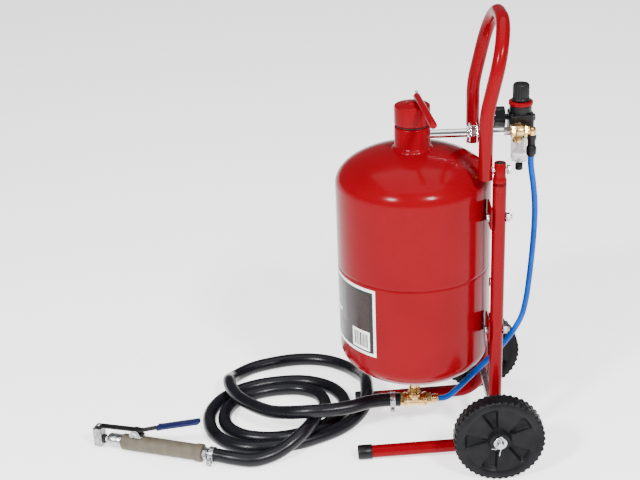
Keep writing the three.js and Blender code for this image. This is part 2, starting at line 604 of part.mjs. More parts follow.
function gunGrip() {
  const body = turnedX(ring([
    [GRIP.bore, GRIP.from], [GRIP.rearR - 2, GRIP.from], [GRIP.rearR, GRIP.from + 2],
    [GRIP.rearR, GRIP.from + 9], [GRIP.r, GRIP.from + 16], [GRIP.r, GRIP.to - 4], [GRIP.r - 2, GRIP.to],
    [GRIP.bore, GRIP.to],
  ]), 18, 0, 0);
  const boss = box(PIVOT.s - BOSS.behind, PIVOT.s + BOSS.ahead, -BOSS.half, BOSS.half, 10, BOSS.top);
  const scallops = SCALLOPS
    .map((s) => turnedY(disc(GRIP.scallopR, -20, 20), 14, s, GRIP.scallopZ));
  return cut(join(body, boss), ...scallops, turnedX(disc(GRIP.bore, 0, 200), 18, 0, 0));
}
add('gun_grip', gunGrip(), TAUPE, gun);
add('gun_pipe', turnedX(sleeve(8.1, 6.3, GRIP.from + 0.2, GRIP.to + 6), 18, 0, 0), ZINC, gun);
add('gun_nipple', join(
  turnedX(disc(7.5, HOSE_END_S + GAP, GRIP.from - 0.2), 16, 0, 0),
  hexX(11, HOSE_END_S + 3, GRIP.from - 0.4, 0, 0),
), ZINC, gun);
add('nozzle_nut', turnedX(ring([
  [GRIP.bore, GRIP.to + GAP], [NUT.r, GRIP.to + GAP], [NUT.r, NUT.tip - 3], [NUT.r - 1.5, NUT.tip],
  [NOZZLE.r + 0.4, NUT.tip], [NOZZLE.r + 0.4, NUT.inside], [GRIP.bore, NUT.inside],
]), 18, 0, 0), ZINC, gun);
add('gun_nozzle', turnedX(
  sleeve(NOZZLE.r, NOZZLE.bore, NUT.inside + 0.5, NOZZLE.end), 16, 0, 0,
), CERAMIC, gun);

const pinHole = () => turnedY(disc(PIVOT.pinR + GAP, -12, 12), 16, PIVOT.s, PIVOT.z);

/** Two ears on a base plate that sits on the grip's boss. */
function gunBracket() {
  const { half, inner, thick, z0, z1 } = EARS;
  const outer = inner + thick;
  return cut(
    join(
      box(PIVOT.s - half, PIVOT.s + half, -outer, -inner, z0, z1),
      box(PIVOT.s - half, PIVOT.s + half, inner, outer, z0, z1),
      box(PIVOT.s - BOSS.behind, PIVOT.s + BOSS.ahead, -outer, outer, BOSS.top + GAP, BOSS.top + GAP + thick),
    ),
    pinHole(),
  );
}
add('gun_bracket', gunBracket(), ZINC, gun);
add('lever_pin', turnedY(disc(PIVOT.pinR, -PIVOT.pinHalf, PIVOT.pinHalf), 16, PIVOT.s, PIVOT.z), ZINC, gun);

const LEVER_LINE = [[228, 26], [160, 28.5], [140, 29.5], [109, 40], [32, 63.5]];
function gunLever() {
  const strip = plateXZ(stripOutline(LEVER_LINE, 2.6), 12);
  const boss = box(PIVOT.s - 4.5, PIVOT.s + 4.5, -5.5, 5.5, 21, 29);
  return cut(join(strip, boss), pinHole());
}
add('gun_lever', gunLever(), BLACK_STEEL, gun);

function leverSleeve() {
  const outer = plateXZ(stripOutline([[108, 40.3], [28, 64.7]], 8), 17);
  const inner = plateXZ(stripOutline([[125, 35.1], [109, 40], [31, 63.8]], 3.4), 12.8);
  return cut(outer, inner);
}
add('lever_sleeve', leverSleeve(), BLUE_VINYL, gun);
add('gun_stopper', box(
  STOPPER.s0, STOPPER.s1, -STOPPER.half, STOPPER.half, STOPPER.z0, STOPPER.z1,
), ZINC, gun);
add('stopper_pad', turnedX(disc(8, NOZZLE.end + GAP, STOPPER.s0 - GAP), 20, 0, 0), BLACK_RUBBER, gun);
add('hose_clamp_gun', hoseClamp(10, 0, 0).rotateX(rad(70)), ZINC, gun);

// ---------- origin: bottom centre of the pot on its cart ----------
const CENTRE_X = (UPRIGHT.x + WHEEL.r - TANK_R) / 2;
pot.position.x = -CENTRE_X;

export default pot;
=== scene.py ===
"""Mobile pressure blast pot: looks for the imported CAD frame.

Lengths are in millimetres about the tank's axis, and place() turns them into the row frame's metres.
"""
from math import acos, copysign, cos, pi, radians, sin, sqrt, tan
import bmesh
import bpy
from mathutils import Matrix, Vector


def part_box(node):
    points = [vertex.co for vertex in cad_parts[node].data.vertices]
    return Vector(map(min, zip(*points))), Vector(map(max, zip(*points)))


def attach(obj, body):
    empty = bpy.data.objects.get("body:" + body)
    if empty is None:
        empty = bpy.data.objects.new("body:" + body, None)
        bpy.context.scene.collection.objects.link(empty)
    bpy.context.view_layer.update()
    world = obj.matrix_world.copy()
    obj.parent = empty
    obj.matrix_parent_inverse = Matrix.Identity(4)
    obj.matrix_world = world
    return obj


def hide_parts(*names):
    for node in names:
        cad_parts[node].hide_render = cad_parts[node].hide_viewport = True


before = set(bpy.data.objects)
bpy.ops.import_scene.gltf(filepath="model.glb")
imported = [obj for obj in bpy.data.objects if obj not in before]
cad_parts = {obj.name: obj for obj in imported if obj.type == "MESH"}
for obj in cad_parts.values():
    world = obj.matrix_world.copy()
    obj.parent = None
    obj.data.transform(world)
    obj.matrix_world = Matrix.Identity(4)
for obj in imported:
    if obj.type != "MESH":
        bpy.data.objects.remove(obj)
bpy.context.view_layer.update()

# ---------- frame: everything is placed from the tank's box ----------
tank_low, tank_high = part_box("tank_shell")
AXIS_X = (tank_low.x + tank_high.x) / 2
TO_ROW = Matrix.Translation((AXIS_X, 0, 0)) @ Matrix.Scale(0.001, 4)


def place(point):
    return TO_ROW @ Vector(point)


def add_object(name, data):
    made = bpy.data.objects.new(name, data)
    bpy.context.scene.collection.objects.link(made)
    return made


# ---------- driving dimensions, as in the CAD ----------
TANK_R = 127
LOWER_R = 126.2
SHELL_Z = (186, 478)
DOME_H = 58
SEAM_Z = 338
NECK_R = 29
NECK_TOP = 573
CAP_Z = 576
PLUG_R = 17
PLUG_Z = (565, 575.7)
TUBE_R = 11
SIDE_Y = 88
UPRIGHT_X = 129.3
UPRIGHT_TOP = 537
LEG_TIP_X = -104
LEG_RISE = radians(3)
LEG_CAP_R = 12.8
HANDLE_X = 106.8
WHEEL_R = 75
WHEEL_Y = 148
LINE_Z = 556.5
ELBOW_X = 191.5
REG_X, REG_Y = 178.5, 38
GAUGE_Z = 568
OUTLET_Z = 62
HOSE_R = 12
AIR_R = 5
CLAMP_SET_BACK = 13
GUN_CLAMP_X = 10
GUN_CLAMP_TURN = radians(70)
GUN = Matrix.Translation((-345.6, -89, 17)) @ Matrix.Rotation(radians(162.8), 4, "Z")
SIDES = {"left": -1, "right": 1}


# ---------- camera ----------
AZIMUTH, ELEVATION, ROLL = (radians(a) for a in (1.08, 24.18, -2.47))
LENS = 67.82
VIEW_CENTRE = (-155.25, 0, 377.1)
VIEW_METRES = 2.0108


def make_camera():
    level = cos(ELEVATION)
    back = Vector((sin(AZIMUTH) * level, -cos(AZIMUTH) * level, sin(ELEVATION)))
    camera = add_object("camera", bpy.data.cameras.new("camera"))
    camera.data.lens = LENS
    camera.data.clip_end = 50
    camera.location = place(VIEW_CENTRE) + back * VIEW_METRES
    look = (-back).to_track_quat("-Z", "Y").to_matrix().to_4x4()
    camera.matrix_world = Matrix.Translation(camera.location) @ look @ Matrix.Rotation(ROLL, 4, "Z")
    bpy.context.scene.camera = camera


make_camera()


# ---------- materials ----------
NOISE_SPAN = (0.3, 0.7)  # the part of a noise's range that colour and gloss run over


class Shader:
    """A Principled material with small helpers for procedural detail in object space."""

    def __init__(self, name, color, roughness, metallic=0.0):
        self.material = bpy.data.materials.new(name)
        self.material.use_nodes = True
        self.tree = self.material.node_tree
        self.principled = self.tree.nodes["Principled BSDF"]
        self.set("Base Color", (*color, 1))
        self.set("Roughness", roughness)
        self.set("Metallic", metallic)
        self.set("Specular IOR Level", 0.5 if metallic else 0.2)
        self.coords = self.node("ShaderNodeTexCoord").outputs["Object"]

    def node(self, kind):
        return self.tree.nodes.new(kind)

    def link(self, source, target):
        self.tree.links.new(source, target)

    def set(self, socket, value):
        self.principled.inputs[socket].default_value = value

    def noise(self, scale, detail, stretch=None):
        texture = self.node("ShaderNodeTexNoise")
        texture.inputs["Scale"].default_value = scale
        texture.inputs["Detail"].default_value = detail
        source = self.coords
        if stretch:
            mapping = self.node("ShaderNodeMapping")
            mapping.inputs["Scale"].default_value = stretch
            self.link(self.coords, mapping.inputs["Vector"])
            source = mapping.outputs["Vector"]
        self.link(source, texture.inputs["Vector"])
        return texture.outputs["Fac"]

    def vary_color(self, source, low, high):
        ramp = self.node("ShaderNodeValToRGB")
        for element, position, color in zip(ramp.color_ramp.elements, NOISE_SPAN, (low, high)):
            element.position = position
            element.color = (*color, 1)
        self.link(source, ramp.inputs["Fac"])
        self.link(ramp.outputs["Color"], self.principled.inputs["Base Color"])

    def vary_roughness(self, source, low, high):
        span = self.node("ShaderNodeMapRange")
        for socket, value in zip(("From Min", "From Max", "To Min", "To Max"), (*NOISE_SPAN, low, high)):
            span.inputs[socket].default_value = value
        self.link(source, span.inputs["Value"])
        self.link(span.outputs["Result"], self.principled.inputs["Roughness"])

    def bump(self, source, strength, distance):
        """Adds a bump on top of any earlier one."""
        made = self.node("ShaderNodeBump")
        made.inputs["Strength"].default_value = strength
        made.inputs["Distance"].default_value = distance
        self.link(source, made.inputs["Height"])
        normal = self.principled.inputs["Normal"]
        if normal.is_linked:
            self.link(normal.links[0].from_socket, made.inputs["Normal"])
        self.link(made.outputs["Normal"], normal)


def surface(name, color, roughness, metallic=0.0, mottle=None, gloss=None, bumps=(), values=()):
    """A material with noise in its colour (mottle), its roughness (gloss) and its relief (bumps)."""
    s = Shader(name, color, roughness, metallic)
    if mottle:
        s.vary_color(s.noise(*mottle[0]), *mottle[1:])
    if gloss:
        s.vary_roughness(s.noise(*gloss[0]), *gloss[1:])
    for socket, value in values:
        s.set(socket, value)
    for noise, strength, distance in bumps:
        s.bump(s.noise(*noise), strength, distance)
    return s.material


def print_ink(name, color):
    """Gloss label print in one ink, with the fine mottle of the screen."""
    darker = tuple(c * 0.88 for c in color)
    lighter = tuple(min(1, c * 1.12 + 0.004) for c in color)
    return surface(
        name, color, 0.22, mottle=((160, 4), darker, lighter), gloss=((50, 2), 0.16, 0.28),
        bumps=[((500, 2), 0.05, 0.0002)],
    )


RED = surface(
    "red_paint", (0.16, 0.0, 0.0035), 0.2,
    mottle=((9, 4), (0.15, 0.0, 0.003), (0.172, 0.0001, 0.004)), gloss=((40, 4), 0.14, 0.22),
    values=[("Specular IOR Level", 0.08)], bumps=[((420, 2), 0.10, 0.0003), ((14, 2), 0.06, 0.002)],
)
ZINC = surface(
    "zinc", (0.45, 0.46, 0.48), 0.3, 1.0,
    mottle=((130, 4), (0.34, 0.35, 0.36), (0.56, 0.57, 0.59)), gloss=((220, 4), 0.22, 0.42),
    bumps=[((700, 3), 0.15, 0.0002)],
)
CAST = surface(
    "cast_zinc", (0.3, 0.3, 0.31), 0.38, 1.0,
    mottle=((160, 5), (0.17, 0.17, 0.18), (0.42, 0.42, 0.43)), gloss=((260, 4), 0.28, 0.5),
    bumps=[((500, 4), 0.3, 0.0004)],
)
CHROME = surface(
    "chrome", (0.82, 0.83, 0.85), 0.08, 1.0,
    gloss=((90, 3, (1, 8, 8)), 0.05, 0.13), bumps=[((260, 2), 0.05, 0.0002)],
)
BRASS = surface(
    "brass", (0.72, 0.47, 0.16), 0.24, 1.0,
    mottle=((110, 4), (0.60, 0.36, 0.11), (0.80, 0.56, 0.24)), gloss=((300, 3), 0.16, 0.34),
    bumps=[((900, 2), 0.12, 0.0002)],
)
PLASTIC = surface(
    "black_plastic", (0.004, 0.004, 0.005), 0.34,
    mottle=((60, 4), (0.003, 0.003, 0.0035), (0.006, 0.006, 0.007)), gloss=((90, 3), 0.28, 0.44),
    bumps=[((1400, 2), 0.18, 0.0002)],
)
WHEEL = surface(
    "wheel_plastic", (0.005, 0.005, 0.006), 0.38,
    mottle=((45, 5), (0.003, 0.003, 0.004), (0.008, 0.008, 0.009)), gloss=((70, 4), 0.32, 0.5),
    values=[("Specular IOR Level", 0.1)], bumps=[((900, 3), 0.22, 0.0003)],
)
GLOSS = surface(
    "gloss_black", (0.006, 0.006, 0.007), 0.1,
    gloss=((30, 2), 0.07, 0.14), bumps=[((200, 2), 0.03, 0.0002)],
)
HOSE = surface(
    "hose_rubber", (0.004, 0.004, 0.006), 0.4,
    mottle=((35, 5), (0.003, 0.003, 0.0045), (0.006, 0.006, 0.0085)), gloss=((50, 4), 0.24, 0.38),
    values=[("Specular IOR Level", 0.22)], bumps=[((850, 3), 0.12, 0.0002), ((60, 2), 0.15, 0.0008)],
)
SEAL = surface(
    "seal_rubber", (0.014, 0.014, 0.014), 0.7,
    mottle=((120, 4), (0.010, 0.010, 0.010), (0.022, 0.022, 0.022)), bumps=[((1200, 3), 0.3, 0.0002)],
)
CLEAR = surface(
    "clear_bowl", (0.93, 0.90, 0.94), 0.08,
    gloss=((60, 2), 0.06, 0.16),
    values=[("Transmission Weight", 0.85), ("IOR", 1.45), ("Alpha", 0.8)],
    bumps=[((90, 2), 0.05, 0.0004)],
)
BLUE = surface(
    "blue_tube", (0.0005, 0.06, 0.36), 0.22,
    mottle=((40, 3), (0.0002, 0.052, 0.33), (0.001, 0.07, 0.4)), gloss=((60, 3), 0.16, 0.3),
    values=[("Specular IOR Level", 0.1)], bumps=[((300, 2), 0.06, 0.0002)],
)
TAUPE = surface(
    "taupe_plastic", (0.098, 0.084, 0.06), 0.55,
    mottle=((70, 5), (0.084, 0.072, 0.051), (0.116, 0.1, 0.073)), gloss=((120, 3), 0.46, 0.62),
    bumps=[((1100, 3), 0.35, 0.0003)],
)
VINYL = surface(
    "blue_vinyl", (0.005, 0.008, 0.05), 0.35,
    mottle=((90, 4), (0.004, 0.006, 0.038), (0.008, 0.012, 0.068)), gloss=((70, 3), 0.25, 0.45),
    bumps=[((240, 3), 0.2, 0.0003)],
)
STEEL = surface(
    "black_steel", (0.012, 0.012, 0.013), 0.4, 0.7,
    mottle=((150, 5), (0.008, 0.008, 0.009), (0.024, 0.023, 0.022)), gloss=((200, 4), 0.3, 0.55),
    bumps=[((600, 3), 0.2, 0.0002)],
)
CERAMIC = surface(
    "ceramic", (0.72, 0.69, 0.62), 0.5,
    mottle=((200, 4), (0.64, 0.61, 0.54), (0.78, 0.75, 0.69)), bumps=[((900, 3), 0.3, 0.0002)],
)
INK_BLACK = print_ink("ink_black", (0.005, 0.0045, 0.0045))
INK_WHITE = print_ink("ink_white", (0.80, 0.80, 0.79))
INK_BROWN = print_ink("ink_brown", (0.016, 0.0075, 0.006))
INK_GREY = print_ink("ink_grey", (0.04, 0.038, 0.038))
NEEDLE = print_ink("needle_red", (0.55, 0.02, 0.015))


# ---------- mesh building ----------
AXES = {
    "Z": Matrix.Identity(4),
    "X": Matrix(((0, 0, 1, 0), (0, 1, 0, 0), (-1, 0, 0, 0), (0, 0, 0, 1))),
    "Y": Matrix(((1, 0, 0, 0), (0, 0, 1, 0), (0, -1, 0, 0), (0, 0, 0, 1))),
}


class Piece:
    """Collects closed shells in millimetres, then becomes one object that rides on a body."""

    def __init__(self, name, material, body="pot", nodes=(), base=None):
        self.name = name
        self.material = material
        self.body = body
        self.nodes = nodes
        self.base = base or Matrix.Identity(4)
        self.mesh = bmesh.new()

    def rings(self, rings, closed=False):
        """Skins a list of rings, each a list of points; a ring of one point is a pole."""
        made = [[self.mesh.verts.new(self.base @ Vector(p)) for p in ring] for ring in rings]
        pairs = list(zip(made, made[1:]))
        if closed:
            pairs.append((made[-1], made[0]))
        for a, b in pairs:
            count = max(len(a), len(b))
            for i in range(count):
                j = (i + 1) % count
                if len(a) == 1:
                    self.mesh.faces.new((a[0], b[i], b[j]))
                elif len(b) == 1:
                    self.mesh.faces.new((a[i], b[0], a[j]))
                else:
                    self.mesh.faces.new((a[i], b[i], b[j], a[j]))
        if not closed:
            for ring in (made[0], made[-1]):
                if len(ring) > 2:
                    self.mesh.faces.new(ring)
        return self

    def turned(self, profile, segments=64, axis="Z", at=(0, 0, 0), phase=0.0, wobble=None):
        """Turns a profile of (radius, height) about an axis. A closed profile repeats its start."""
        closed = profile[0] == profile[-1]
        points = profile[:-1] if closed else profile
        turn = Matrix.Translation(at) @ AXES[axis]
        rings = []
        for radius, height in points:
            if radius < 1e-6:
                rings.append([turn @ Vector((0, 0, height))])
                continue
            ring = []
            for i in range(segments):
                angle = phase + 2 * pi * i / segments
                r = radius + (wobble(angle, radius, height) if wobble else 0)
                ring.append(turn @ Vector((r * cos(angle), r * sin(angle), height)))
            rings.append(ring)
        return self.rings(rings, closed=closed)

    def tube(self, path, radius, segments=24, round_ends=0.0):
        """Round bar along a path of points; round_ends is the length of the rounding at its two ends."""
        points = [Vector(p) for p in path]
        if round_ends:
            points = rounded_path(points, round_ends)
        frames = transport(points)
        total = path_length(points)
        rings = []
        run = 0.0
        for i, (point, (side, up)) in enumerate(zip(points, frames)):
            if i:
                run += (point - points[i - 1]).length
            r = radius
            if round_ends:
                near = min(run, total - run) / round_ends
                if near < 1:
                    r *= sqrt(max(1 - (1 - near) ** 2, 0.02))
            rings.append([
                point + side * (r * cos(a)) + up * (r * sin(a))
                for a in (2 * pi * k / segments for k in range(segments))
            ])
        return self.rings(rings)

    def box(self, low, high, turn=None):
        turn = turn or Matrix.Identity(4)
        (x0, y0, z0), (x1, y1, z1) = low, high
        ring = [(x0, y0), (x1, y0), (x1, y1), (x0, y1)]
        return self.rings([[turn @ Vector((x, y, z)) for x, y in ring] for z in (z0, z1)])

    def slab(self, outline, low, high, turn=None):
        """A flat outline in the first two coordinates, given a thickness along the third."""
        turn = turn or Matrix.Identity(4)
        return self.rings([[turn @ Vector((x, y, h)) for x, y in outline] for h in (low, high)])

    def done(self, bevel=0.0, segments=2, sharp=35):
        bmesh.ops.recalc_face_normals(self.mesh, faces=self.mesh.faces)
        bmesh.ops.transform(self.mesh, matrix=TO_ROW, verts=self.mesh.verts)
        for face in self.mesh.faces:
            face.smooth = True
        for edge in self.mesh.edges:
            if len(edge.link_faces) == 2 and edge.calc_face_angle(0) > radians(sharp):
                edge.smooth = False
        data = bpy.data.meshes.new(self.name)
        self.mesh.to_mesh(data)
        self.mesh.free()
        piece = add_object(self.name, data)
        data.materials.append(self.material)
        if bevel:
            modifier = piece.modifiers.new("edges", "BEVEL")
            modifier.width = bevel / 1000
            modifier.segments = segments
            modifier.limit_method = "ANGLE"
            modifier.angle_limit = radians(sharp)
            modifier.harden_normals = True
        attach(piece, self.body)
        if self.nodes:
            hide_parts(*self.nodes)
        return piece


def path_length(points):
    return sum((b - a).length for a, b in zip(points, points[1:]))


def rounded_path(points, reach, steps=6):
    """Adds close stations near both ends, for a rounded end."""
    start, end = points[0], points[-1]
    into = (points[1] - start).normalized()
    out = (points[-2] - end).normalized()
    head = [start + into * (reach * (1 - cos(pi / 2 * k / steps))) for k in range(steps + 1)]
    tail = [end + out * (reach * (1 - cos(pi / 2 * k / steps))) for k in range(steps + 1)]
    return head + points[1:-1] + tail[::-1]


def transport(points):
    """Side and up vectors that turn as little as they can along a path."""
    tangents = []
    for i in range(len(points)):
        before = points[max(i - 1, 0)]
        after = points[min(i + 1, len(points) - 1)]
        tangents.append((after - before).normalized())
    side = tangents[0].orthogonal().normalized()
    frames = []
    for tangent in tangents:
        side = (side - tangent * side.dot(tangent)).normalized()
        frames.append((side, tangent.cross(side)))
    return frames


def bent(corners, radii, steps=20):
    """A polyline with its corners rounded."""
    corners = [Vector(c) for c in corners]
    points = [corners[0]]
    for before, corner, after, radius in zip(corners, corners[1:], corners[2:], radii):
        into = (corner - before).normalized()
        out = (after - corner).normalized()
        turn = into.angle(out)
        start = corner - into * (radius * tan(turn / 2))
        side = (out - into * out.dot(into)).normalized()
        centre = start + side * radius
        for k in range(steps + 1):
            a = turn * k / steps
            points.append(centre - side * (radius * cos(a)) + into * (radius * sin(a)))
    points.append(corners[-1])
    return points


def smooth_route(points, spacing):
    """Centripetal Catmull-Rom curve through the points."""
    pts = [Vector(p) for p in points]
    pts = [pts[0] * 2 - pts[1], *pts, pts[-1] * 2 - pts[-2]]
    route = [pts[1]]
    for p0, p1, p2, p3 in zip(pts, pts[1:], pts[2:], pts[3:]):
        t0 = 0.0
        t1 = t0 + (p1 - p0).length ** 0.5
        t2 = t1 + (p2 - p1).length ** 0.5
        t3 = t2 + (p3 - p2).length ** 0.5
        steps = max(1, round((p2 - p1).length / spacing))
        for k in range(1, steps + 1):
            t = t1 + (t2 - t1) * k / steps
            a1 = p0.lerp(p1, (t - t0) / (t1 - t0))
            a2 = p1.lerp(p2, (t - t1) / (t2 - t1))
            a3 = p2.lerp(p3, (t - t2) / (t3 - t2))
            b1 = a1.lerp(a2, (t - t0) / (t2 - t0))
            b2 = a2.lerp(a3, (t - t1) / (t3 - t1))
            route.append(b1.lerp(b2, (t - t1) / (t2 - t1)))
    return route


def ring_of(profile):
    return [*profile, profile[0]]


def cored(outer, a, b, bore):
    """Completes an outer profile from a to b with its bore, or solid to the axis."""
    if bore:
        return ring_of([(bore, a), *outer, (bore, b)])
    return [(0, a), *outer, (0, b)]


def disc(r, a, b):
    return cored([(r, a), (r, b)], a, b, 0)


def rounded(r, a, b, edge=1.0, bore=0.0):
    """Profile of a disc or a sleeve from a to b with rounded outer corners."""
    s = 1 if b > a else -1
    arc = [(edge * sin(t), edge * (1 - cos(t))) for t in (0, pi / 6, pi / 3, pi / 2)]
    low = [(r - edge + dx, a + s * dz) for dx, dz in arc]
    high = [(r - edge + dx, b - s * dz) for dx, dz in reversed(arc)]
    return cored([*low, *high], a, b, bore)


def hex_profile(r, a, b, bore=0.0):
    """Hexagon bar with its end corners taken off; turned with six segments."""
    corner, cut = r * 0.93, 0.06 * r
    return cored([(corner, a), (r, a + cut), (r, b - cut), (corner, b)], a, b, bore)


# ---------- cords ----------
HOSE_START_X = -25.7
HOSE_END = 17
HOSE_ROUTE = [
    (HOSE_START_X, 0, 62), (-52, 0, 62), (-80, -5, 62), (-115, -20, 62), (-150, -28, 62),
    (-185, -30, 62), (-222, -20, 55), (-256, 1, 45), (-290, 33, 39), (-318, 66, 37.5),
    (-333, 98, 37.5), (-339, 124, 36.5), (-341, 150, 26), (-336, 176, 15), (-322, 197, 12),
    (-298, 216, 12), (-262, 231, 12), (-225, 240, 12), (-185, 240, 12), (-150, 229, 12),
    (-119, 205, 13), (-98, 168, 20), (-87, 130, 33), (-83, 104, 39.6), (-82.5, 80, 39.8),
    (-83, 55, 36), (-90, 34, 27), (-105, 15, 18), (-129, -6, 12), (-165, -31, 12),
    (-207, -51, 12), (-252, -60, 12), (-299, -60, 12), (-339, -38, 12), (-364, -1, 12),
    (-371, 50, 12), (-353, 100, 12), (-310, 138, 12), (-250, 157, 12), (-192, 155, 12),
    (-150, 131, 12), (-128, 95, 12), (-124, 62, 12), (-133, 32, 12), (-155, 6, 12),
    (-188, -16, 12), (-228, -31, 12), (-270, -33, 12), (-310, -20, 12), (-337, 10, 12),
    (-343, 50, 12), (-329, 88, 12), (-296, 116, 12), (-250, 130, 12), (-204, 128, 12),
    (-173, 108, 12), (-161, 78, 12), (-163, 52, 14), (-168, 30, 24), (-173, 10, 34),
    (-178, -10, 37.2), (-184, -30, 37.2), (-196, -52, 36), (-218, -73, 27), (-248, -89, 16),
    (-283, -101, 13), (-318, -98, 16), GUN @ Vector((0, 0, 0)), GUN @ Vector((HOSE_END, 0, 0)),
]
TUBE_ROUTE = [
    (191.5, 0, 512.7), (191.6, 0, 500), (193.5, 0, 485), (197, 0, 462), (200.5, 0, 425), (200.5, 0, 380),
    (198, 0, 330), (195, 0, 290), (191, 0, 252), (184, 0, 220), (169, 0, 190), (149, 0, 162),
    (124, 0, 133), (96, 0, 103), (74, 0, 79), (60, 0, 66), (50, 0, 62), (42.3, 0, 62),
]


def cord_curve(name, route, radius, material, node):
    """A round cord as a curve of one open spline."""
    points = [place(p) for p in smooth_route(route, 5)]
    data = bpy.data.curves.new(name, "CURVE")
    data.dimensions = "3D"
    data.bevel_depth = radius / 1000
    data.bevel_resolution = 7
    data.use_fill_caps = True
    spline = data.splines.new("POLY")
    spline.points.add(len(points) - 1)
    for target, point in zip(spline.points, points):
        target.co = (*point, 1)
    spline.use_smooth = True
    data.materials.append(material)
    piece = add_object(name, data)
    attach(piece, "pot")
    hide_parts(node)
    return piece, points


def make_cords(hose_pieces):
    hose, hose_points = cord_curve("rubber_blast_hose", HOSE_ROUTE, HOSE_R, HOSE, "blast_hose")
    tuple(hose_points[0])
    path_length(hose_points)
    tube, tube_points = cord_curve("air_supply_tube", TUBE_ROUTE, AIR_R, BLUE, "air_tube")
    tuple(tube_points[0])
    path_length(tube_points)


# ---------- tank ----------
def dome(r0, r1, wall_r, wall_z, height, sign, steps):
    """Points on an elliptical dome from radius r0 to r1."""
    a0 = acos(min(r0 / wall_r, 1))
    a1 = acos(min(r1 / wall_r, 1))
    return [
        (wall_r * cos(a), wall_z + sign * height * sin(a))
        for a in (a0 + (a1 - a0) * i / steps for i in range(steps + 1))
    ]


def dome_z(r):
    return SHELL_Z[1] + DOME_H * sqrt(1 - (r / TANK_R) ** 2)


def make_tank():
    inner = LOWER_R - 2.5
    lap = [
        (LOWER_R, SEAM_Z - 3.4), (LOWER_R - 1.0, SEAM_Z - 1.6), (LOWER_R - 1.0, SEAM_Z - 0.4),
        (TANK_R - 0.5, SEAM_Z - 0.3), (TANK_R, SEAM_Z + 0.5), (TANK_R, SEAM_Z + 4),
    ]
    walls = [(LOWER_R, z) for z in (240, 290, 332)]
    upper = [(TANK_R, z) for z in (390, 440)]
    profile = [
        (7, 116), (12.2, 116), (13, 116.8), (13, 127),
        *dome(16, LOWER_R, LOWER_R, SHELL_Z[0], DOME_H, -1, 28), *walls, *lap, *upper,
        *dome(TANK_R, 22, TANK_R, SHELL_Z[1], DOME_H, 1, 30),
        *dome(22, inner, inner, SHELL_Z[1], DOME_H - 2.5, 1, 16),
        *dome(inner, 7, inner, SHELL_Z[0], DOME_H - 2.5, -1, 16),
    ]
    Piece("tank_body", RED, nodes=["tank_shell"]).turned(ring_of(profile), 144).done(sharp=50)

    toe = NECK_R + 4.5
    neck = Piece("neck_and_weld", RED, nodes=["filler_neck"])
    neck.turned(ring_of([
        (22, dome_z(22) + 0.4), (toe, dome_z(toe) + 0.2), (toe - 0.6, dome_z(toe) + 1.5),
        (toe - 2, dome_z(toe) + 3.2), (toe - 3.6, dome_z(toe) + 4.6), (NECK_R, dome_z(toe) + 6.4),
        (NECK_R, NECK_TOP - 2), (NECK_R - 0.6, NECK_TOP - 0.6), (NECK_R - 2, NECK_TOP), (22, NECK_TOP),
    ]), 120, wobble=lambda a, r, h: 0.35 * sin(34 * a) if r > NECK_R + 0.2 else 0)
    neck.done(sharp=50)


def make_cap():
    Piece("cap_seal", SEAL, "cap_ring", ["cap_gasket"]).turned(
        ring_of([(22, 573.4), (26.6, 573.4), (27.5, 574.1), (27.5, 575), (26.6, 575.6), (22, 575.6)]), 64,
    ).done()
    low, high = PLUG_Z
    plug = Piece("cap_spigot", STEEL, "cap", ["cap_plug"])
    plug.turned([(0, low), (PLUG_R - 1, low), (PLUG_R, low + 1), (PLUG_R, high), (0, high)], 72)
    plug.done(sharp=30)
    cap = Piece("filler_cap_head", RED, "cap", ["filler_cap"])
    cap.turned([
        (0, CAP_Z), (27.8, CAP_Z), (NECK_R, CAP_Z + 1.2),
        (NECK_R, 604.5), (28.5, 606.4), (26.6, 607.6), (18, 608.4), (10.2, 609), (8.6, 609.8),
        (8, 611), (7, 611.6), (0, 611.6),
    ], 96)
    cap.done(sharp=40)
    start, end = Vector((7.5, 8, 619)), Vector((26, -102, 604.5))
    lever = Piece("cap_lever_bar", RED, "cap", ["cap_lever"])
    lever.tube([start, start.lerp(end, 0.5), end], 5.75, 32, round_ends=2.4)
    lever.done(sharp=70)
    Piece("cap_lever_stub", ZINC, "cap").tube(
        [(8, 11, 612), (8, 11, 618), (8, 11, 626.5)], 2.4, 20, round_ends=0.8).done(sharp=70)


def label_patch(name, material, a0, a1, z0, z1, lift, nodes=()):
    """A printed patch on the tank's wall, between two angles and two heights."""
    inner = LOWER_R + 0.3 if lift == 0 else LOWER_R + 0.62 + lift
    outer = LOWER_R + 0.7 + lift
    count = max(2, round(abs(a1 - a0) / 1.5))
    rings = []
    for i in range(count + 1):
        a = radians(a0 + (a1 - a0) * i / count)
        c, s = cos(a), sin(a)
        rings.append([
            (inner * c, inner * s, z0), (outer * c, outer * s, z0),
            (outer * c, outer * s, z1), (inner * c, inner * s, z1),
        ])
    patch = Piece(name, material, nodes=nodes)
    patch.rings(rings)
    patch.done()


def make_label():
    """White border, black field, brown wash, a plain code patch with bars and pale blocks."""
    label_patch("label_border", INK_WHITE, 123, 237, 209, 331, 0, ["tank_label"])
    label_patch("label_field", INK_BLACK, 125.2, 234.8, 214, 326, 0.03)
    label_patch("label_wash", INK_BROWN, 209, 231.5, 220, 320, 0.06)
    label_patch("label_fade", INK_GREY, 128, 205, 250, 318, 0.06)
    label_patch("label_code", INK_WHITE, 213.5, 231.5, 217, 252, 0.10)
    first_bar = 215.7
    bars = [
        (0, 1.3), (2.0, 0.6), (3.3, 1.0), (5.0, 0.5), (6.2, 1.4), (8.3, 0.7), (9.6, 1.1), (11.4, 0.6),
        (12.6, 1.2),
    ]
    for i, (start, width) in enumerate(bars):
        a = first_bar + start
        label_patch(f"label_bar_{i}", INK_BLACK, a, a + width, 222, 247, 0.14)
    label_patch("label_band", INK_WHITE, 150, 196, 262, 268, 0.10)
    label_patch("label_block", INK_GREY, 152, 190, 226, 240, 0.10)


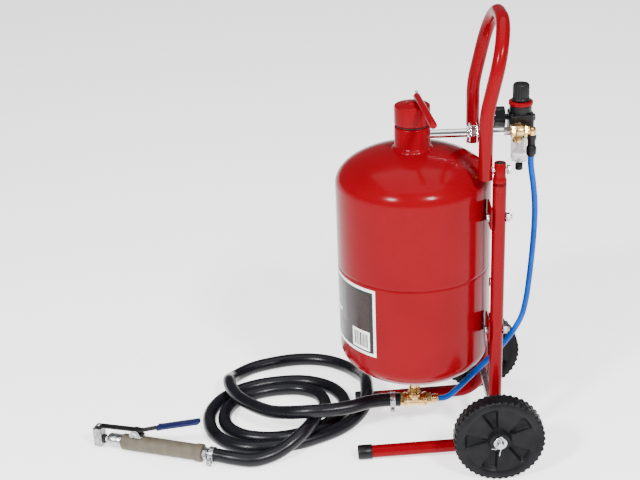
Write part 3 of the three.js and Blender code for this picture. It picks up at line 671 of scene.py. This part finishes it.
# ---------- cart ----------
BORE_DEPTH = 20
BRACKET_LEVELS = {"upper": 445, "lower": 245}
PLATE_X = (115, 118)
HANDLE_BOLT_Z = 525
BOLT_R = 4
BOLT_HEX_R = 7.2
NUT_X = 141.6
PIN_Y = 172


def leg_z(x):
    return LEG_CAP_R * cos(LEG_RISE) + (x - LEG_TIP_X) * tan(LEG_RISE)


def hex_bar(piece, r, a, b, y, z, bore=0.0):
    piece.turned(hex_profile(r, a, b, bore), 6, "X", (0, y, z), phase=pi / 6)


def hollow_end(piece, x, y, top):
    """The swaged, open top of an upright: a neck with its bore, over a sloping shoulder."""
    base = top - BORE_DEPTH
    piece.turned([
        (0, 500), (TUBE_R, 500), (TUBE_R, 508), (10.6, 510.5), (9.6, 513), (9.25, 516),
        (9.25, top - 0.7), (8.8, top), (8.2, top), (7.75, top - 0.6), (7.75, base), (0, base),
    ], 48, at=(x, y, 0))


def make_cart():
    tube_end = LEG_TIP_X + 2.3
    for name, side in SIDES.items():
        y = side * SIDE_Y
        tube = Piece(f"upright_and_leg_{name}", RED, nodes=[f"frame_tube_{name}"])
        route = bent(
            [(UPRIGHT_X, y, 505), (UPRIGHT_X, y, leg_z(UPRIGHT_X)), (tube_end, y, leg_z(tube_end))], [48], 24)
        tube.tube(route, TUBE_R, 48)
        hollow_end(tube, UPRIGHT_X, y, UPRIGHT_TOP)
        tube.done(sharp=40)
        # Near-black lining inside the open top: it stands for the tube's unpainted inside and is darkened as
        # painted shade of the deep hollow.
        bore = Piece(f"upright_bore_shade_lining_{name}", SEAL)
        bore.turned([
            (0, 0.4), (7.6, 0.4), (7.6, BORE_DEPTH - 1), (7.2, BORE_DEPTH - 1), (7.2, 1), (0, 1),
        ], 40, at=(UPRIGHT_X, y, UPRIGHT_TOP - BORE_DEPTH))
        bore.done()

        tilt = Matrix.Translation((LEG_TIP_X, y, leg_z(LEG_TIP_X))) @ Matrix.Rotation(
            pi / 2 - LEG_RISE, 4, "Y")
        cap = Piece(f"leg_end_cap_{name}", PLASTIC, nodes=[f"leg_cap_{name}"], base=tilt)
        cap.turned(ring_of([
            (0.01, 2), (0.01, 0), (9.8, 0), (11.8, 0.5), (12.6, 1.6), (12.8, 3), (12.8, 22.6), (12.4, 23.4),
            (12.8, 24.2), (12.6, 25), (11.4, 25), (11.4, 2),
        ]), 48)
        cap.done(sharp=40)

        for level, z in BRACKET_LEVELS.items():
            make_bracket(name, side, level, z)
        make_handle_bolt(name, y)


def make_bracket(name, side, level, z):
    """Flat plate with rounded corners, and the bolt through the upright."""
    y = side * SIDE_Y
    plate = Piece(f"bracket_plate_{name}_{level}", RED, nodes=[f"bracket_{name}_{level}"])
    low, high, half, corner = 55, 100, 18, 5
    outline = []
    for cy, cz, start in (
        (high - corner, half - corner, 0), (low + 1, half - 1, 90),
        (low + 1, 1 - half, 180), (high - corner, corner - half, 270),
    ):
        r = corner if cy > (low + high) / 2 else 1
        for k in range(6):
            a = radians(start + 18 * k)
            outline.append((side * (cy + r * cos(a)), z + cz + r * sin(a)))
    turn = Matrix(((0, 0, 1, 0), (1, 0, 0, 0), (0, 1, 0, 0), (0, 0, 0, 1)))
    plate.slab(outline, *PLATE_X, turn)
    plate.done(bevel=0.5)

    bolt = Piece(f"bracket_fixing_{name}_{level}", ZINC, nodes=[f"bracket_bolt_{name}_{level}"])
    hex_bar(bolt, BOLT_HEX_R, 109.7, 114.7, y, z)
    nut_and_washer(bolt, y, z, 5.4)
    bolt.turned([
        (0, 110), (BOLT_R, 110), (BOLT_R, 146.5), *threads(BOLT_R, 147, 150), (BOLT_R - 1, 150.4), (0, 150.4),
    ], 28, "X", (0, y, z))
    bolt.done(bevel=0.25)


def nut_and_washer(piece, y, z, nut_height):
    """Nut and washer on the upright's rear."""
    hex_bar(piece, BOLT_HEX_R, NUT_X, NUT_X + nut_height, y, z)
    piece.turned(rounded(8, NUT_X - 1.2, NUT_X - 0.1, 0.3), 40, "X", (0, y, z))


def threads(r, a, b, pitch=1.0, depth=0.35):
    count = int((b - a) / pitch * 2)
    return [(r - (depth if k % 2 else 0), a + (b - a) * k / count) for k in range(count + 1)]


def make_handle_bolt(name, y):
    bolt = Piece(f"handle_fixing_{name}", ZINC, nodes=[f"handle_bolt_{name}"])
    nut_and_washer(bolt, y, HANDLE_BOLT_Z, 4)
    bolt.turned(disc(BOLT_R, 109, 142), 28, "X", (0, y, HANDLE_BOLT_Z))
    bolt.done(bevel=0.25)


def make_handle():
    foot, bend, top = 509, 612, 747
    top_x = HANDLE_X + (top - bend) * tan(radians(12.5))
    near = [(HANDLE_X, -SIDE_Y, foot), (HANDLE_X, -SIDE_Y, bend), (top_x, -SIDE_Y, top)]
    corners = near + [(x, -y, z) for x, y, z in reversed(near)]
    Piece("push_handle", RED, nodes=["handle_loop"]).tube(
        bent(corners, [180, 76, 76, 180], 28), TUBE_R, 48, round_ends=1.2).done(sharp=60)


# ---------- wheels ----------
WHEEL_SPOKES = 5
TREAD_LUGS = 44
LUG_STEPS = 6
LUG_DEPTH = 1.9
HUB_R, HUB_FOOT = 17, 20
HUB_FACE = 18
RIM_IN, RIM_OUT = 59, 68


def wheel_face(radius, angle):
    """How far the wheel's outer face stands from the mid-plane at a place on it."""
    if radius < HUB_R:
        return HUB_FACE
    if radius < HUB_FOOT:
        return HUB_FACE - 3.0 * (radius - HUB_R)
    if radius > RIM_OUT:
        return 14.4 - 0.35 * (radius - RIM_OUT)
    if radius > RIM_IN:
        return 13.2 + 1.2 * sin(pi * (radius - RIM_IN) / 18)
    outward = (radius - HUB_FOOT) / (RIM_IN - HUB_FOOT)
    spread = ((angle * WHEEL_SPOKES / (2 * pi)) % 1) * 2 - 1
    width = 0.34 + 0.12 * outward
    groove = smooth_step((width - abs(spread)) / 0.16)
    ends = smooth_step((radius - HUB_FOOT) / 5) * smooth_step((58 - radius) / 4)
    petal = 9.5 + 2.6 * outward
    return petal - 7.5 * groove * ends


def smooth_step(t):
    t = min(max(t, 0), 1)
    return t * t * (3 - 2 * t)


def make_wheel(name, side):
    """Moulded wheel: hub, five sunk grooves between broad petals, and a tread of small lugs."""
    radii = [
        6.4, 9, 12, 15.5, 16.8, 17.4, 18.5, 20, 22, 24, 27, 31, 36, 41, 46, 50, 53, 55, 57, 59, 61, 64, 67,
        69, 71,
    ]
    segments = TREAD_LUGS * LUG_STEPS
    wheel = Piece(f"moulded_wheel_{name}", WHEEL, f"wheel_{name}", [f"wheel_{name}"])
    centre = Vector((UPRIGHT_X, side * WHEEL_Y, WHEEL_R))
    rings = []
    for face, order in ((1, radii), (-1, radii[::-1])):
        for radius in order:
            ring = []
            for i in range(segments):
                a = 2 * pi * i / segments
                out = wheel_face(radius, a) * face
                ring.append(centre + Vector((radius * cos(a), side * out, radius * sin(a))))
            rings.append(ring)
        if face == 1:
            rings += tread_rings(centre, segments, side)
    wheel.rings(rings, closed=True)
    wheel.done(sharp=45)

    washer = Piece(f"plain_washer_{name}", ZINC, nodes=[f"axle_washer_{name}"])
    washer.turned(ring_of([(6.4, -1), (10.6, -1), (11, -0.6), (11, 0.6), (10.6, 1), (6.4, 1)]), 56, "Y",
                  (UPRIGHT_X, side * (WHEEL_Y + 19.3), WHEEL_R))
    washer.done()
    make_cotter(name, side * PIN_Y)


def tread_rings(centre, segments, side):
    """Around the tyre: lugs stand out on the shoulders and stagger across the middle."""
    rings = []
    for out in (14.0, 12.5, 9, 5, 1.2, -1.2, -5, -9, -12.5, -14.0):
        ring = []
        for i in range(segments):
            a = 2 * pi * i / segments
            phase = 3 if abs(out) < 6 else 0
            lug = (i + phase) % LUG_STEPS < LUG_STEPS / 2
            high = WHEEL_R if lug else WHEEL_R - LUG_DEPTH
            if abs(out) < 2:
                high = WHEEL_R - 0.6
            if abs(out) > 13:
                high -= LUG_DEPTH
            ring.append(centre + Vector((high * cos(a), side * out, high * sin(a))))
        rings.append(ring)
    return rings


def make_cotter(name, y):
    """Split pin: an eye on top, two legs below spread a little."""
    x, z = UPRIGHT_X, WHEEL_R
    eye = [(x + 3 * cos(a), y, z + 12.5 + 3 * sin(a)) for a in (
        radians(d) for d in range(-60, 241, 20))]
    legs = [
        [(x + 0.6, y, z + 10.5), (x + 0.6, y, z), (x, y, z - 10), (x - 2, y, z - 21)],
        [
            (x - 0.6, y, z + 10.5), (x - 0.7, y, z + 2), (x - 3, y, z - 6.4), (x - 8, y, z - 7.8),
            (x - 15, y, z - 7),
        ],
    ]
    pin = Piece(f"split_pin_{name}", ZINC, nodes=[f"cotter_pin_{name}"])
    pin.tube(eye, 1.0, 14)
    for leg in legs:
        pin.tube(leg, 0.75, 12, round_ends=0.4)
    pin.done(sharp=60)


def make_axle():
    axle = Piece("axle_rod", ZINC, nodes=["axle"])
    end_and_collar = [
        (0, -177), (4.6, -177), (5.7, -176.4), (6, -175.4), (6, -129.8), (8.6, -129.6), (9, -129.2),
        (9, -127.4), (8.6, -127), (6, -126.9),
    ]
    axle.turned(end_and_collar + [(r, -y) for r, y in reversed(end_and_collar)], 48, "Y",
                (UPRIGHT_X, 0, WHEEL_R))
    axle.done(sharp=45)


# ---------- air line ----------
def make_air_line():
    pipe = Piece("chrome_pipe", CHROME, nodes=["air_pipe"])
    pipe.turned(ring_of([(4.85, 24), (6.85, 24), (6.85, 146), *threads(6.85, 146, 156, 1.2, 0.4), (6.3, 157),
                         (4.85, 157)]), 56, "X", (0, 0, LINE_Z))
    pipe.done(sharp=40)

    union = Piece("union_hex", CHROME, nodes=["union_nut"])
    hex_bar(union, 17, 91.5, 103.5, 0, LINE_Z, 7.35)
    union.turned(rounded(13.2, 86.5, 90.6, 0.8, 7.35), 48, "X", (0, 0, LINE_Z))
    union.done(bevel=0.5)

    tee = Piece("brass_tee", BRASS, nodes=["top_tee"])
    hex_bar(tee, 11.5, 157.8, 164.5, 0, LINE_Z)
    tee.turned([(0, 164), (8.2, 164), (9.2, 166), (9.4, 171), (9.2, 176), (8.2, 179), (0, 179)],
               40, "X", (0, 0, LINE_Z))
    hex_bar(tee, 10.5, 178.5, 184.1, 0, LINE_Z)
    tee.turned([(0, 0), (8.6, 0), (8.6, 12), (9, 12.6), (9, 17.3), (8.6, 17.7), (0, 17.7)],
               40, "Y", (172.5, 0, LINE_Z))
    tee.turned([(0, 539.5), (7.4, 539.5), (8.5, 540.6), (8.5, 546), (7.8, 547), (7.8, 556), (0, 556)],
               40, "Z", (168.5, -2, 0))
    tee.done(bevel=0.3)

    elbow = Piece("push_in_elbow", PLASTIC, nodes=["top_elbow"])
    elbow.turned([
        (0, 513), (5.4, 513), (6.2, 514), (6.2, 516), (7.6, 516.4), (8.2, 517.6), (8.2, 527.4), (7.4, 529.4),
        (6.3, 531), (6.3, 540), (7.6, 542), (7.6, 548), (6.6, 549), (0, 549),
    ], 44, at=(ELBOW_X, 0, 0))
    elbow.done(sharp=40)
    swivel = Piece("elbow_swivel", BRASS)
    swivel.turned([(0, 184.4), (7.2, 184.4), (7.2, 187), (5.6, 188), (5.6, 192), (0, 192)],
                  40, "X", (0, 0, LINE_Z))
    swivel.turned([
        (0, 549.2), (6.2, 549.2), (6.8, 550), (6.8, 559), (5.6, 561.4), (3, 562.4), (0, 562.4),
    ], 40, at=(ELBOW_X, 0, 0))
    swivel.done(sharp=40)


def rounded_square(half, corner, steps=6):
    points = []
    for quadrant in range(4):
        c = half - corner
        cx, cy = ((c, c), (-c, c), (-c, -c), (c, -c))[quadrant]
        for k in range(steps + 1):
            a = pi / 2 * (quadrant + k / steps)
            points.append((REG_X + cx + corner * cos(a), REG_Y + cy + corner * sin(a)))
    return points


def make_regulator():
    at = (REG_X, REG_Y, 0)
    body = Piece("regulator_block", PLASTIC, nodes=["regulator_body"])
    body.slab(rounded_square(20, 6), 545, 575)
    body.turned([(0, 570), (17.2, 570), (18, 576), (18, 587.2), (17.4, 588), (0, 588)], 72, at=at)
    body.turned([(0, 536), (16.4, 536), (17, 536.8), (17, 546), (0, 546)], 72, at=at)
    body.turned([(0, 195), (6, 195), (6, 201.6), (5.2, 202.5), (2.4, 202.5), (2.4, 200.6), (0, 200.6)],
                36, "X", (0, REG_Y, 566))
    for x, y in ((-15.5, -15.5), (15.5, -15.5), (-15.5, 15.5), (15.5, 15.5)):
        body.turned(ring_of([
            (0.8, 574.6), (2.6, 574.6), (2.6, 576.3), (2.2, 576.8), (1.2, 576.8), (0.8, 576.2),
        ]), 20, at=(REG_X + x, REG_Y + y, 0))
    body.done(bevel=0.6)

    ring = Piece("bonnet_lock_ring", RED, nodes=["bonnet_ring"])
    ring.turned(ring_of([
        (14.8, 588.5), (18.9, 588.5), (19.5, 589.2), (19.5, 594.2), (18.9, 595), (14.8, 595),
    ]), 96, at=at, wobble=lambda a, r, h: 0.35 * cos(36 * a) if r > 18 else 0)
    ring.done(sharp=60)

    knob = Piece("pressure_knob", PLASTIC, "knob", ["regulator_knob"])
    knob.turned([
        (0, 595.4), (13.9, 595.4), (14.5, 596), (14.5, 598.6), (14, 599.4), (13.3, 600.2), (13.4, 604),
        (13.4, 619.5), (13, 622), (11.8, 623.6), (10, 624), (7.4, 624), (6.9, 623.4), (0, 623.4),
    ], 144, at=at, wobble=knob_flutes)
    knob.done(sharp=50)

    bowl = Piece("clear_filter_bowl", CLEAR, nodes=["filter_bowl"])
    bowl.turned(ring_of([
        (3.4, 492), (11, 492), (13, 493), (14.1, 495.4), (14.3, 498), (14.3, 535.6), (12.4, 535.6),
        (12.4, 498), (11.4, 495.6), (9.6, 494.4), (3.4, 494.4),
    ]), 72, at=at)
    bowl.done(sharp=60)
    core = Piece("filter_element", CERAMIC)
    core.turned([(0, 512), (6.4, 512), (7, 512.8), (7, 535), (0, 535)], 48, at=at,
                wobble=lambda a, r, h: 0.25 * cos(24 * a) if r > 6 else 0)
    core.turned([(0, 506.5), (9.4, 506.5), (10.2, 508), (4.4, 509.4), (4.4, 512.2), (0, 512.2)], 48, at=at)
    core.done(sharp=50)
    drain = Piece("drain_knob", PLASTIC, "drain", ["drain_valve"])
    drain.turned([
        (0, 476), (5.5, 476), (6.1, 476.6), (6.1, 486.4), (5.5, 487), (3, 487.2), (3, 491.8), (0, 491.8),
    ], 60, at=at, wobble=lambda a, r, h: 0.25 * cos(15 * a) if r > 6 else 0)
    drain.done(sharp=50)
    nipple = Piece("quick_connect_plug", ZINC, nodes=["inlet_nipple"])
    nipple.turned(hex_profile(9, 58.4, 67), 6, "Y", (REG_X, 0, LINE_Z))
    nipple.turned([
        (0, 60), (7.4, 60), (7.4, 68), (6, 68.6), (6, 78), (4.5, 80), (4.5, 85.4), (5.2, 87.2), (5.8, 88),
        (5.8, 91.4), (5.3, 92), (0, 92),
    ], 44, "Y", (REG_X, 0, LINE_Z))
    nipple.done(bevel=0.2)


def knob_flutes(angle, radius, height):
    if radius < 11 or height < 600 or height > 622.5:
        return 0
    return -0.9 * smooth_step(0.5 + 0.9 * cos(18 * angle))


def make_gauge():
    at = (0, REG_Y, GAUGE_Z)
    case = Piece("gauge_housing", GLOSS, nodes=["gauge_case"])
    case.turned([
        (0, 137.5), (15.9, 137.5), (16.1, 134.6), (16.6, 133.7), (17.4, 133.5), (18, 134.2), (18, 136.4),
        (17.7, 137), (17.7, 151), (17.1, 152.2), (16, 152.5), (5.6, 152.5), (5, 153), (5, 158), (0, 158),
    ], 96, "X", at)
    case.done(sharp=40)
    dial = Piece("gauge_dial", INK_WHITE)
    dial.turned(disc(15.7, 136.9, 137.4), 72, "X", at)
    dial.done()
    marks = Piece("gauge_marks", INK_BLACK)
    for k in range(11):
        a = radians(225 - 27 * k)
        y, z = cos(a), sin(a)
        turn = Matrix.Translation(at) @ Matrix(((1, 0, 0, 0), (0, y, -z, 0), (0, z, y, 0), (0, 0, 0, 1)))
        marks.box((136.7, 11.2 if k % 2 else 10.4, -0.35), (136.88, 14, 0.35), turn)
    marks.done()
    needle = Piece("gauge_pointer", NEEDLE, "needle", ["gauge_needle"])
    turn = Matrix.Translation(at) @ Matrix.Rotation(radians(45), 4, "X")
    hand = [(-1, 4), (1, 4), (0.75, 0), (0.15, -13), (-0.15, -13), (-0.75, 0)]
    needle.rings([[turn @ Vector((x, y, z)) for y, z in hand] for x in (135.5, 136.1)])
    needle.turned([(0, 135), (1.9, 135), (2.2, 135.4), (2.2, 136.2), (0, 136.2)], 32, "X", at)
    needle.done(bevel=0.1)


# ---------- outlet ----------
def make_outlet():
    nipple = Piece("outlet_barrel", BRASS, nodes=["outlet_nipple"])
    nipple.turned(ring_of([
        (5, 77.3), (9.5, 77.3), *threads(9.5, 78, 87, 1.8, 0.5), (8, 88.6), (8, 102.4),
        *threads(9.5, 103.4, 115, 1.8, 0.5), (5, 115.7),
    ]), 56)
    nipple.done(sharp=40)

    at = (0, 0, OUTLET_Z)
    tee = Piece("outlet_tee", BRASS, nodes=["bottom_tee"])
    tee.turned([
        (0, -19), (11.7, -19), (12.5, -18.2), (12.5, -13.8), (11.8, -13), (10.9, -12), (10.9, 14), (11.8, 15),
        (12.5, 15.8), (12.5, 20.2), (11.7, 21), (0, 21),
    ], 64, "X", at)
    tee.turned([(0, 62), (10.8, 62), (10.8, 70), (11.3, 71), (12, 71.8), (12, 76.2), (11.2, 77), (0, 77)], 64)
    tee.done(sharp=40)

    fitting = Piece("tube_push_fitting", BRASS, nodes=["tube_fitting"])
    hex_bar(fitting, 10, 21.3, 30, 0, OUTLET_Z)
    fitting.turned([(0, 29), (8, 29), (8, 38.4), (7.4, 39.2), (6.6, 39.6), (7.6, 40), (7.6, 41.6), (7.2, 42),
                    (0, 42)], 48, "X", at)
    fitting.done(bevel=0.3)

    barb = Piece("hose_tail_hex", BRASS, nodes=["hose_barb"])
    hex_bar(barb, 12, HOSE_START_X + 0.3, -19.3, 0, OUTLET_Z)
    barb.done(bevel=0.3)


def make_clamp(name, base, node):
    """Worm band: a rolled strip with raised edges, two ears and a screw with its nut."""
    clamp = Piece(name, ZINC, nodes=[node], base=base)
    inner = HOSE_R + 0.15
    clamp.turned(ring_of([
        (inner, -4.5), (inner + 1.5, -4.5), (inner + 1.9, -4), (inner + 1.9, -3.2), (inner + 1.3, -2.7),
        (inner + 1.3, 2.7), (inner + 1.9, 3.2), (inner + 1.9, 4), (inner + 1.5, 4.5), (inner, 4.5),
    ]), 72, "X")
    for side in (-1, 1):
        low, high = sorted((side * 1.1, side * 3.1))
        clamp.box((-4.3, low, -inner - 10.6), (4.3, high, -inner - 0.4))
    clamp.turned([(0, -8), (2.4, -8), (2.6, -7.6), (2.6, -5.2), (1.7, -5), (1.7, 7.4), (0, 7.8)], 28, "Y",
                 (0, 0, -inner - 6))
    clamp.turned(hex_profile(3.4, 3.3, 6.3), 6, "Y", (0, 0, -inner - 6))
    clamp.done(bevel=0.25)


# ---------- gun ----------
SIDE_ON = Matrix(((1, 0, 0, 0), (0, 0, 1, 0), (0, 1, 0, 0), (0, 0, 0, 1)))
PIVOT = (152, 0, 25)
GRIP_BORE_R = 8.5
SCALLOP_X = (45, 68, 91, 114)
SCALLOP_R = 11
SCALLOP_Z = -20.3


def make_gun():
    """The hand piece; returns what the hose carries at its end."""
    def piece(name, material, nodes, body="pot"):
        return Piece(name, material, body, nodes, base=GUN)

    nipple = piece("hose_end_nipple", ZINC, ["gun_nipple"])
    nipple.turned(disc(7.5, 17.3, 27), 40, "X")
    nipple.turned(hex_profile(11, 20, 26.9), 6, "X", phase=pi / 6)
    hose_end = nipple.done(bevel=0.3)

    make_grip(piece)
    pipe = piece("gun_core_pipe", ZINC, ["gun_pipe"])
    pipe.turned(ring_of([(6.3, 27.5), (8.1, 27.5), (8.1, 186), (6.3, 186)]), 48, "X")
    pipe.done()

    nut = piece("knurled_nozzle_nut", ZINC, ["nozzle_nut"])
    nut.turned(ring_of([
        (8.5, 180.3), (11.2, 180.3), (12, 181.2), (12, 188), (11.2, 188.6), (11.2, 189.6), (12, 190.4),
        (12, 203), (11.4, 205), (10.3, 206.6), (9.4, 207), (5, 207), (5, 190), (8.5, 190),
    ]), 120, "X", wobble=lambda a, r, h: 0.12 * cos(40 * a) if r > 11.9 and h > 190 else 0)
    nut.done(sharp=45)
    nozzle = piece("nozzle_tip", CERAMIC, ["gun_nozzle"])
    nozzle.turned(
        ring_of([(1.75, 190.5), (4.6, 190.5), (4.6, 211.6), (4, 213), (2.2, 213), (1.75, 212.4)]), 44, "X")
    nozzle.done(sharp=50)

    bracket = piece("pivot_bracket", CAST, ["gun_bracket"])
    for low, high in ((-8.3, -6.8), (6.8, 8.3)):
        outline = [(141, 16), (163, 16), (162.4, 22)]
        outline += [(152 + 8.4 * cos(a), 24 + 6 * sin(a)) for a in (
            radians(d) for d in range(0, 181, 15))]
        outline.append((141.6, 22))
        bracket.slab(outline, low, high, SIDE_ON)
    bracket.box((138, -7.2, 17.8), (160, 7.2, 19.3))
    bracket.done(bevel=0.4)
    pin = piece("pivot_rivet", ZINC, ["lever_pin"])
    head = [(0, -10), (2.6, -10), (3.6, -9.4), (3.6, -8.6), (2.4, -8.5)]
    pin.turned(head + [(r, -y) for r, y in reversed(head)], 36, "Y", PIVOT)
    pin.done(sharp=50)
    make_lever(piece)

    stopper = piece("stopper_block", CAST, ["gun_stopper"], "trigger")
    stopper.box((217.3, -10, -12), (233, 10, 24))
    stopper.done(bevel=1.6, segments=4)
    rivet = piece("stopper_rivet", ZINC, [], "trigger")
    rivet.turned([(0, 24.2), (4.2, 24.2), (4.2, 28), (3.4, 29.2), (0, 29.6)], 32, at=(224, 0, 0))
    rivet.done(sharp=50)
    pad = piece("stopper_seal", SEAL, ["stopper_pad"], "trigger")
    pad.turned([(0, 213.4), (7.2, 213.4), (8, 214.2), (8, 216.9), (0, 216.9)], 48, "X")
    pad.done()
    return [hose_end]


def make_grip(piece):
    """Moulded grip: rear collar, body with finger scallops underneath, a boss for the bracket."""
    grip = piece("moulded_grip", TAUPE, ["gun_grip"])
    rings = []
    angles = [2 * pi * k / 72 for k in range(72)]
    stations = [27.3, 28, 29.4, 31, 33, 35, 36.5, 38.5, 41, 43.3, *range(46, 176, 2), 176, 178, 179.2, 180]
    for s in stations:
        if s < 36:
            r = 16 - 1.6 * max(0, (29 - s) / 1.7) ** 2
        elif s < 43.3:
            r = 16 - 1.5 * smooth_step((s - 36) / 7.3)
        else:
            r = 14.5 - 1.6 * max(0, (s - 177) / 3) ** 2
        rings.append([(s, r * cos(a), scalloped(s, r * sin(a))) for a in angles])
    bore = [[(s, GRIP_BORE_R * cos(a), GRIP_BORE_R * sin(a)) for a in angles] for s in (180, 27.3)]
    grip.rings(rings + bore, closed=True)
    grip.done(sharp=50)
    boss = piece("grip_boss", TAUPE, [])
    boss.box((138, -5, 12), (160, 5, 17.5))
    boss.done(bevel=1.0, segments=3)


def scalloped(s, z):
    """Underside of the grip: finger hollows cut to a shallow arc."""
    if z > 0:
        return z
    low = z
    for centre in SCALLOP_X:
        offset = s - centre
        if abs(offset) < SCALLOP_R:
            low = max(low, SCALLOP_Z + sqrt(SCALLOP_R ** 2 - offset * offset))
    return low


def make_lever(piece):
    line = [(228, 26), (160, 28.5), (140, 29.5), (109, 40), (32, 63.5)]
    path = bent([(x, 0, z) for x, z in line], [60, 12, 60], 10)
    lever = piece("squeeze_lever", STEEL, ["gun_lever"], "trigger")
    lever.rings(strip_rings(path, 12, 2.6))
    for low, high in ((-5.5, -3.9), (3.9, 5.5)):
        lever.slab([(147.5, 21.5), (156.5, 21.5), (156.5, 28.6), (147.5, 28.6)], low, high, SIDE_ON)
    lever.done(bevel=0.4)

    sleeve = piece("vinyl_lever_grip", VINYL, ["lever_sleeve"], "trigger")
    start, end = Vector((108, 0, 40.3)), Vector((28, 0, 64.7))
    along = (start - end).normalized()
    across = Vector((0, 1, 0))
    normal = along.cross(across)
    rings = []
    for run in (0, 0.4, 1.2, 2.4, 4, *range(8, 80, 4), 80.8, 82, 82.8, 83.4):
        ease = min(1, sqrt(max(0.16, 1 - (1 - min(run, 4) / 4) ** 2)))
        lip = 0.5 if run > 80 else 0
        half_w, half_t = 8.3 * ease + lip, 3.8 * ease + lip
        rings.append([
            end + along * run
            + across * (half_w * signed_power(cos(a), 0.55))
            + normal * (half_t * signed_power(sin(a), 0.7))
            for a in (2 * pi * k / 40 for k in range(40))
        ])
    sleeve.rings(rings)
    sleeve.done(sharp=60)


def signed_power(value, power):
    return copysign(abs(value) ** power, value)


def strip_rings(path, width, thick):
    rings = []
    for i, point in enumerate(path):
        along = (path[min(i + 1, len(path) - 1)] - path[max(i - 1, 0)]).normalized()
        normal = along.cross(Vector((0, 1, 0))).normalized()
        across = Vector((0, width / 2, 0))
        rings.append([
            point + across + normal * (thick / 2), point - across + normal * (thick / 2),
            point - across - normal * (thick / 2), point + across - normal * (thick / 2),
        ])
    return rings


# ---------- studio ----------
def make_stage():
    data = bpy.data.meshes.new("floor")
    shape = bmesh.new()
    half = 30
    corners = ((-half, -half, 0), (half, -half, 0), (half, half, 0), (-half, half, 0))
    shape.faces.new([shape.verts.new(corner) for corner in corners])
    shape.to_mesh(data)
    shape.free()
    floor = add_object("floor", data)
    paper = Shader("floor_paper", (0.93, 0.93, 0.93), 0.9)
    paper.vary_color(paper.noise(3, 2), (0.92, 0.92, 0.92), (0.94, 0.94, 0.94))
    paper.set("Emission Color", (1, 1, 1, 1))
    paper.set("Emission Strength", 1.5)
    data.materials.append(paper.material)

    world = bpy.data.worlds.new("studio")
    world.use_nodes = True
    sky = world.node_tree.nodes["Background"].inputs
    sky["Color"].default_value = (1, 1, 1, 1)
    sky["Strength"].default_value = 0.22
    bpy.context.scene.world = world

    for name, spot, aim, size, power in (
        ("soft_box_left", (-1.5, -1.9, 2.1), (-0.05, 0, 0.35), (0.34, 0.34), 120),
        ("soft_box_right", (0.9, -1.9, 2.2), (0, 0, 0.35), (0.34, 0.34), 105),
        ("soft_box_top", (0.0, 0.2, 3.2), (0, 0, 0.3), (3.0, 3.0), 60),
    ):
        light = bpy.data.lights.new(name, "AREA")
        light.shape = "RECTANGLE"
        light.size, light.size_y = size
        light.energy = power
        lamp = add_object(name, light)
        lamp.location = spot
        lamp.rotation_euler = (Vector(aim) - Vector(spot)).to_track_quat("-Z", "Y").to_euler()


make_tank()
make_cap()
make_label()
make_cart()
make_handle()
for wheel_name, wheel_side in SIDES.items():
    make_wheel(wheel_name, wheel_side)
make_axle()
make_air_line()
make_regulator()
make_gauge()
make_outlet()
tank_end = Matrix.Translation((HOSE_START_X - CLAMP_SET_BACK, 0, OUTLET_Z))
make_clamp("hose_clamp_near_tank", tank_end, "hose_clamp_tank")
gun_end = GUN @ Matrix.Translation((GUN_CLAMP_X, 0, 0)) @ Matrix.Rotation(GUN_CLAMP_TURN, 4, "X")
make_clamp("hose_clamp_near_gun", gun_end, "hose_clamp_gun")
make_cords(make_gun())
make_stage()
